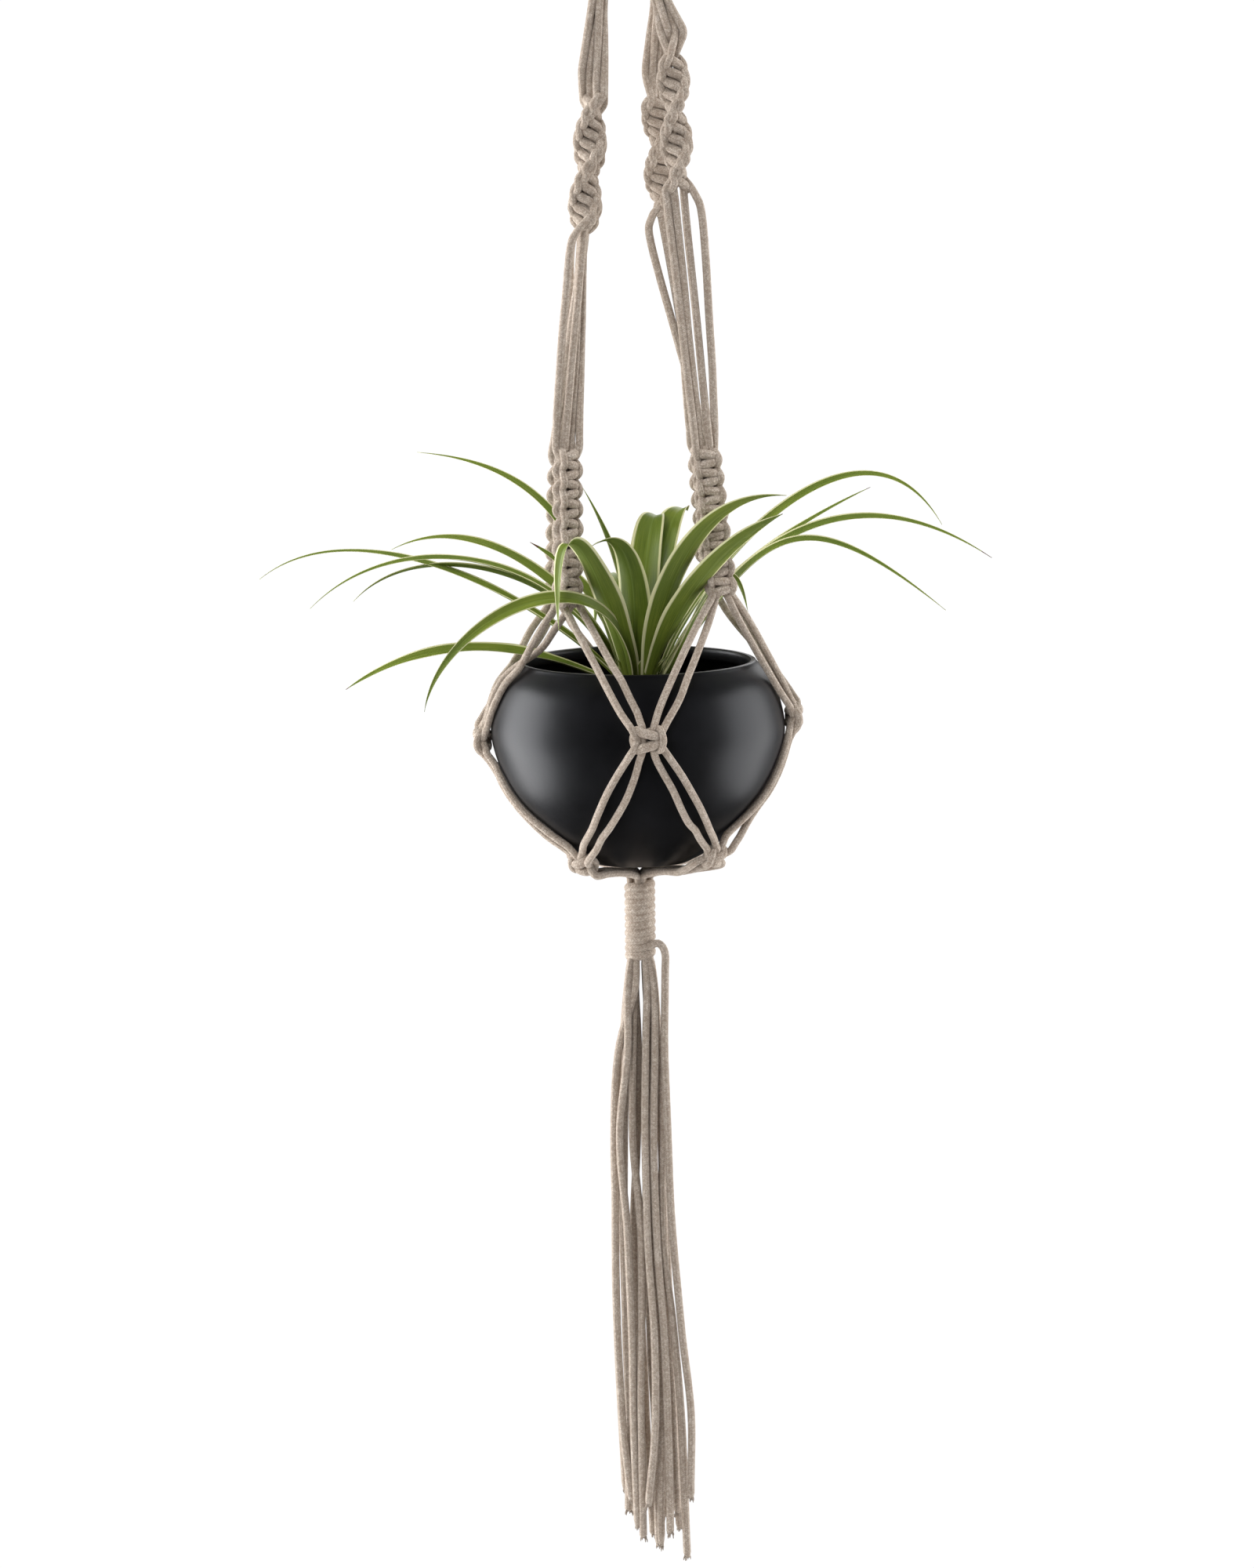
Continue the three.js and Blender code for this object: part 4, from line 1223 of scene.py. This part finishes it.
# ---- studio ----
def add_floor():
    """A pale round floor, low enough that the camera looks over it, so only its light reaches the picture."""
    sides, radius, z = 96, 1.6, CAD_BOX[0][2] - 0.55
    angles = [2 * math.pi * i / sides for i in range(sides)]
    corners = [(radius * math.cos(a), radius * math.sin(a), z) for a in angles]
    s = Shading("pale_floor")
    s.set(Base_Color=(0.86, 0.86, 0.86), Roughness=0.9)
    floor = new_object("floor", corners, [tuple(range(sides))], s.material)
    floor.visible_glossy = False


def add_light(name, place, size, power, target=(0, 0, -0.45), glossy=True):
    data = bpy.data.lights.new(name, "AREA")
    data.shape = "RECTANGLE"
    data.size, data.size_y = size
    data.energy = power
    light = bpy.data.objects.new(name, data)
    light.location = place
    light.rotation_euler = (Vector(target) - Vector(place)).to_track_quat("-Z", "Y").to_euler()
    light.visible_camera = False
    light.visible_glossy = glossy
    bpy.context.collection.objects.link(light)


def add_studio():
    """White to the camera and a dim fill for everything else, with a large soft light at each side."""
    world = bpy.data.worlds.new("studio")
    world.use_nodes = True
    nodes, links = world.node_tree.nodes, world.node_tree.links
    background = nodes["Background"]
    background.inputs["Color"].default_value = (1, 1, 1, 1)
    rays = nodes.new("ShaderNodeLightPath")
    strength = 0.03
    for kind, brighter in (("Is Camera Ray", 1.0), ("Is Diffuse Ray", 0.24)):
        added = nodes.new("ShaderNodeMath")
        added.operation = "MULTIPLY_ADD"
        links.new(rays.outputs[kind], added.inputs[0])
        added.inputs[1].default_value = brighter
        if isinstance(strength, float):
            added.inputs[2].default_value = strength
        else:
            links.new(strength, added.inputs[2])
        strength = added.outputs[0]
    links.new(strength, background.inputs["Strength"])
    bpy.context.scene.world = world
    bpy.context.scene.view_settings.view_transform = "Standard"
    add_light("left_softbox", (-1.4, 0.30, -0.55), (1.25, 2.0), 34)
    add_light("right_softbox", (1.4, 0.25, -0.55), (1.35, 2.0), 20)
    add_light("left_rim", (-1.5, 0.9, -0.3), (1.0, 2.0), 28, glossy=False)
    add_light("right_rim", (1.6, 0.8, -0.3), (1.0, 2.0), 24, glossy=False)
    add_light("front_fill", (-1.0, -2.4, 0.9), (0.8, 0.8), 34, glossy=False)
    add_light("top_light", (0.1, -0.3, 2.0), (1.2, 1.2), 26, glossy=False)
    add_light("back_fill", (0.5, 2.6, 0.8), (1.8, 1.8), 22)


# ---- making ----
add_camera()
cotton = cotton_material()
wrap_pieces = add_wrap(cotton)
add_tassel(cotton)
for piece in wrap_pieces:
    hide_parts("gathering_wrap")
arm_cords = {name: arm_routes(arm) for name, arm in ARMS.items()}
add_folded_cords(cotton, arm_cords)
add_harness_cords(cotton, base_routes(net_routes(arm_cords)))
add_ring(brass_material())
add_pot(glaze_material())
add_soil(soil_material())
leaf = leaf_material()
add_leaves(leaf)
add_crown(leaf)
add_studio()
add_floor()
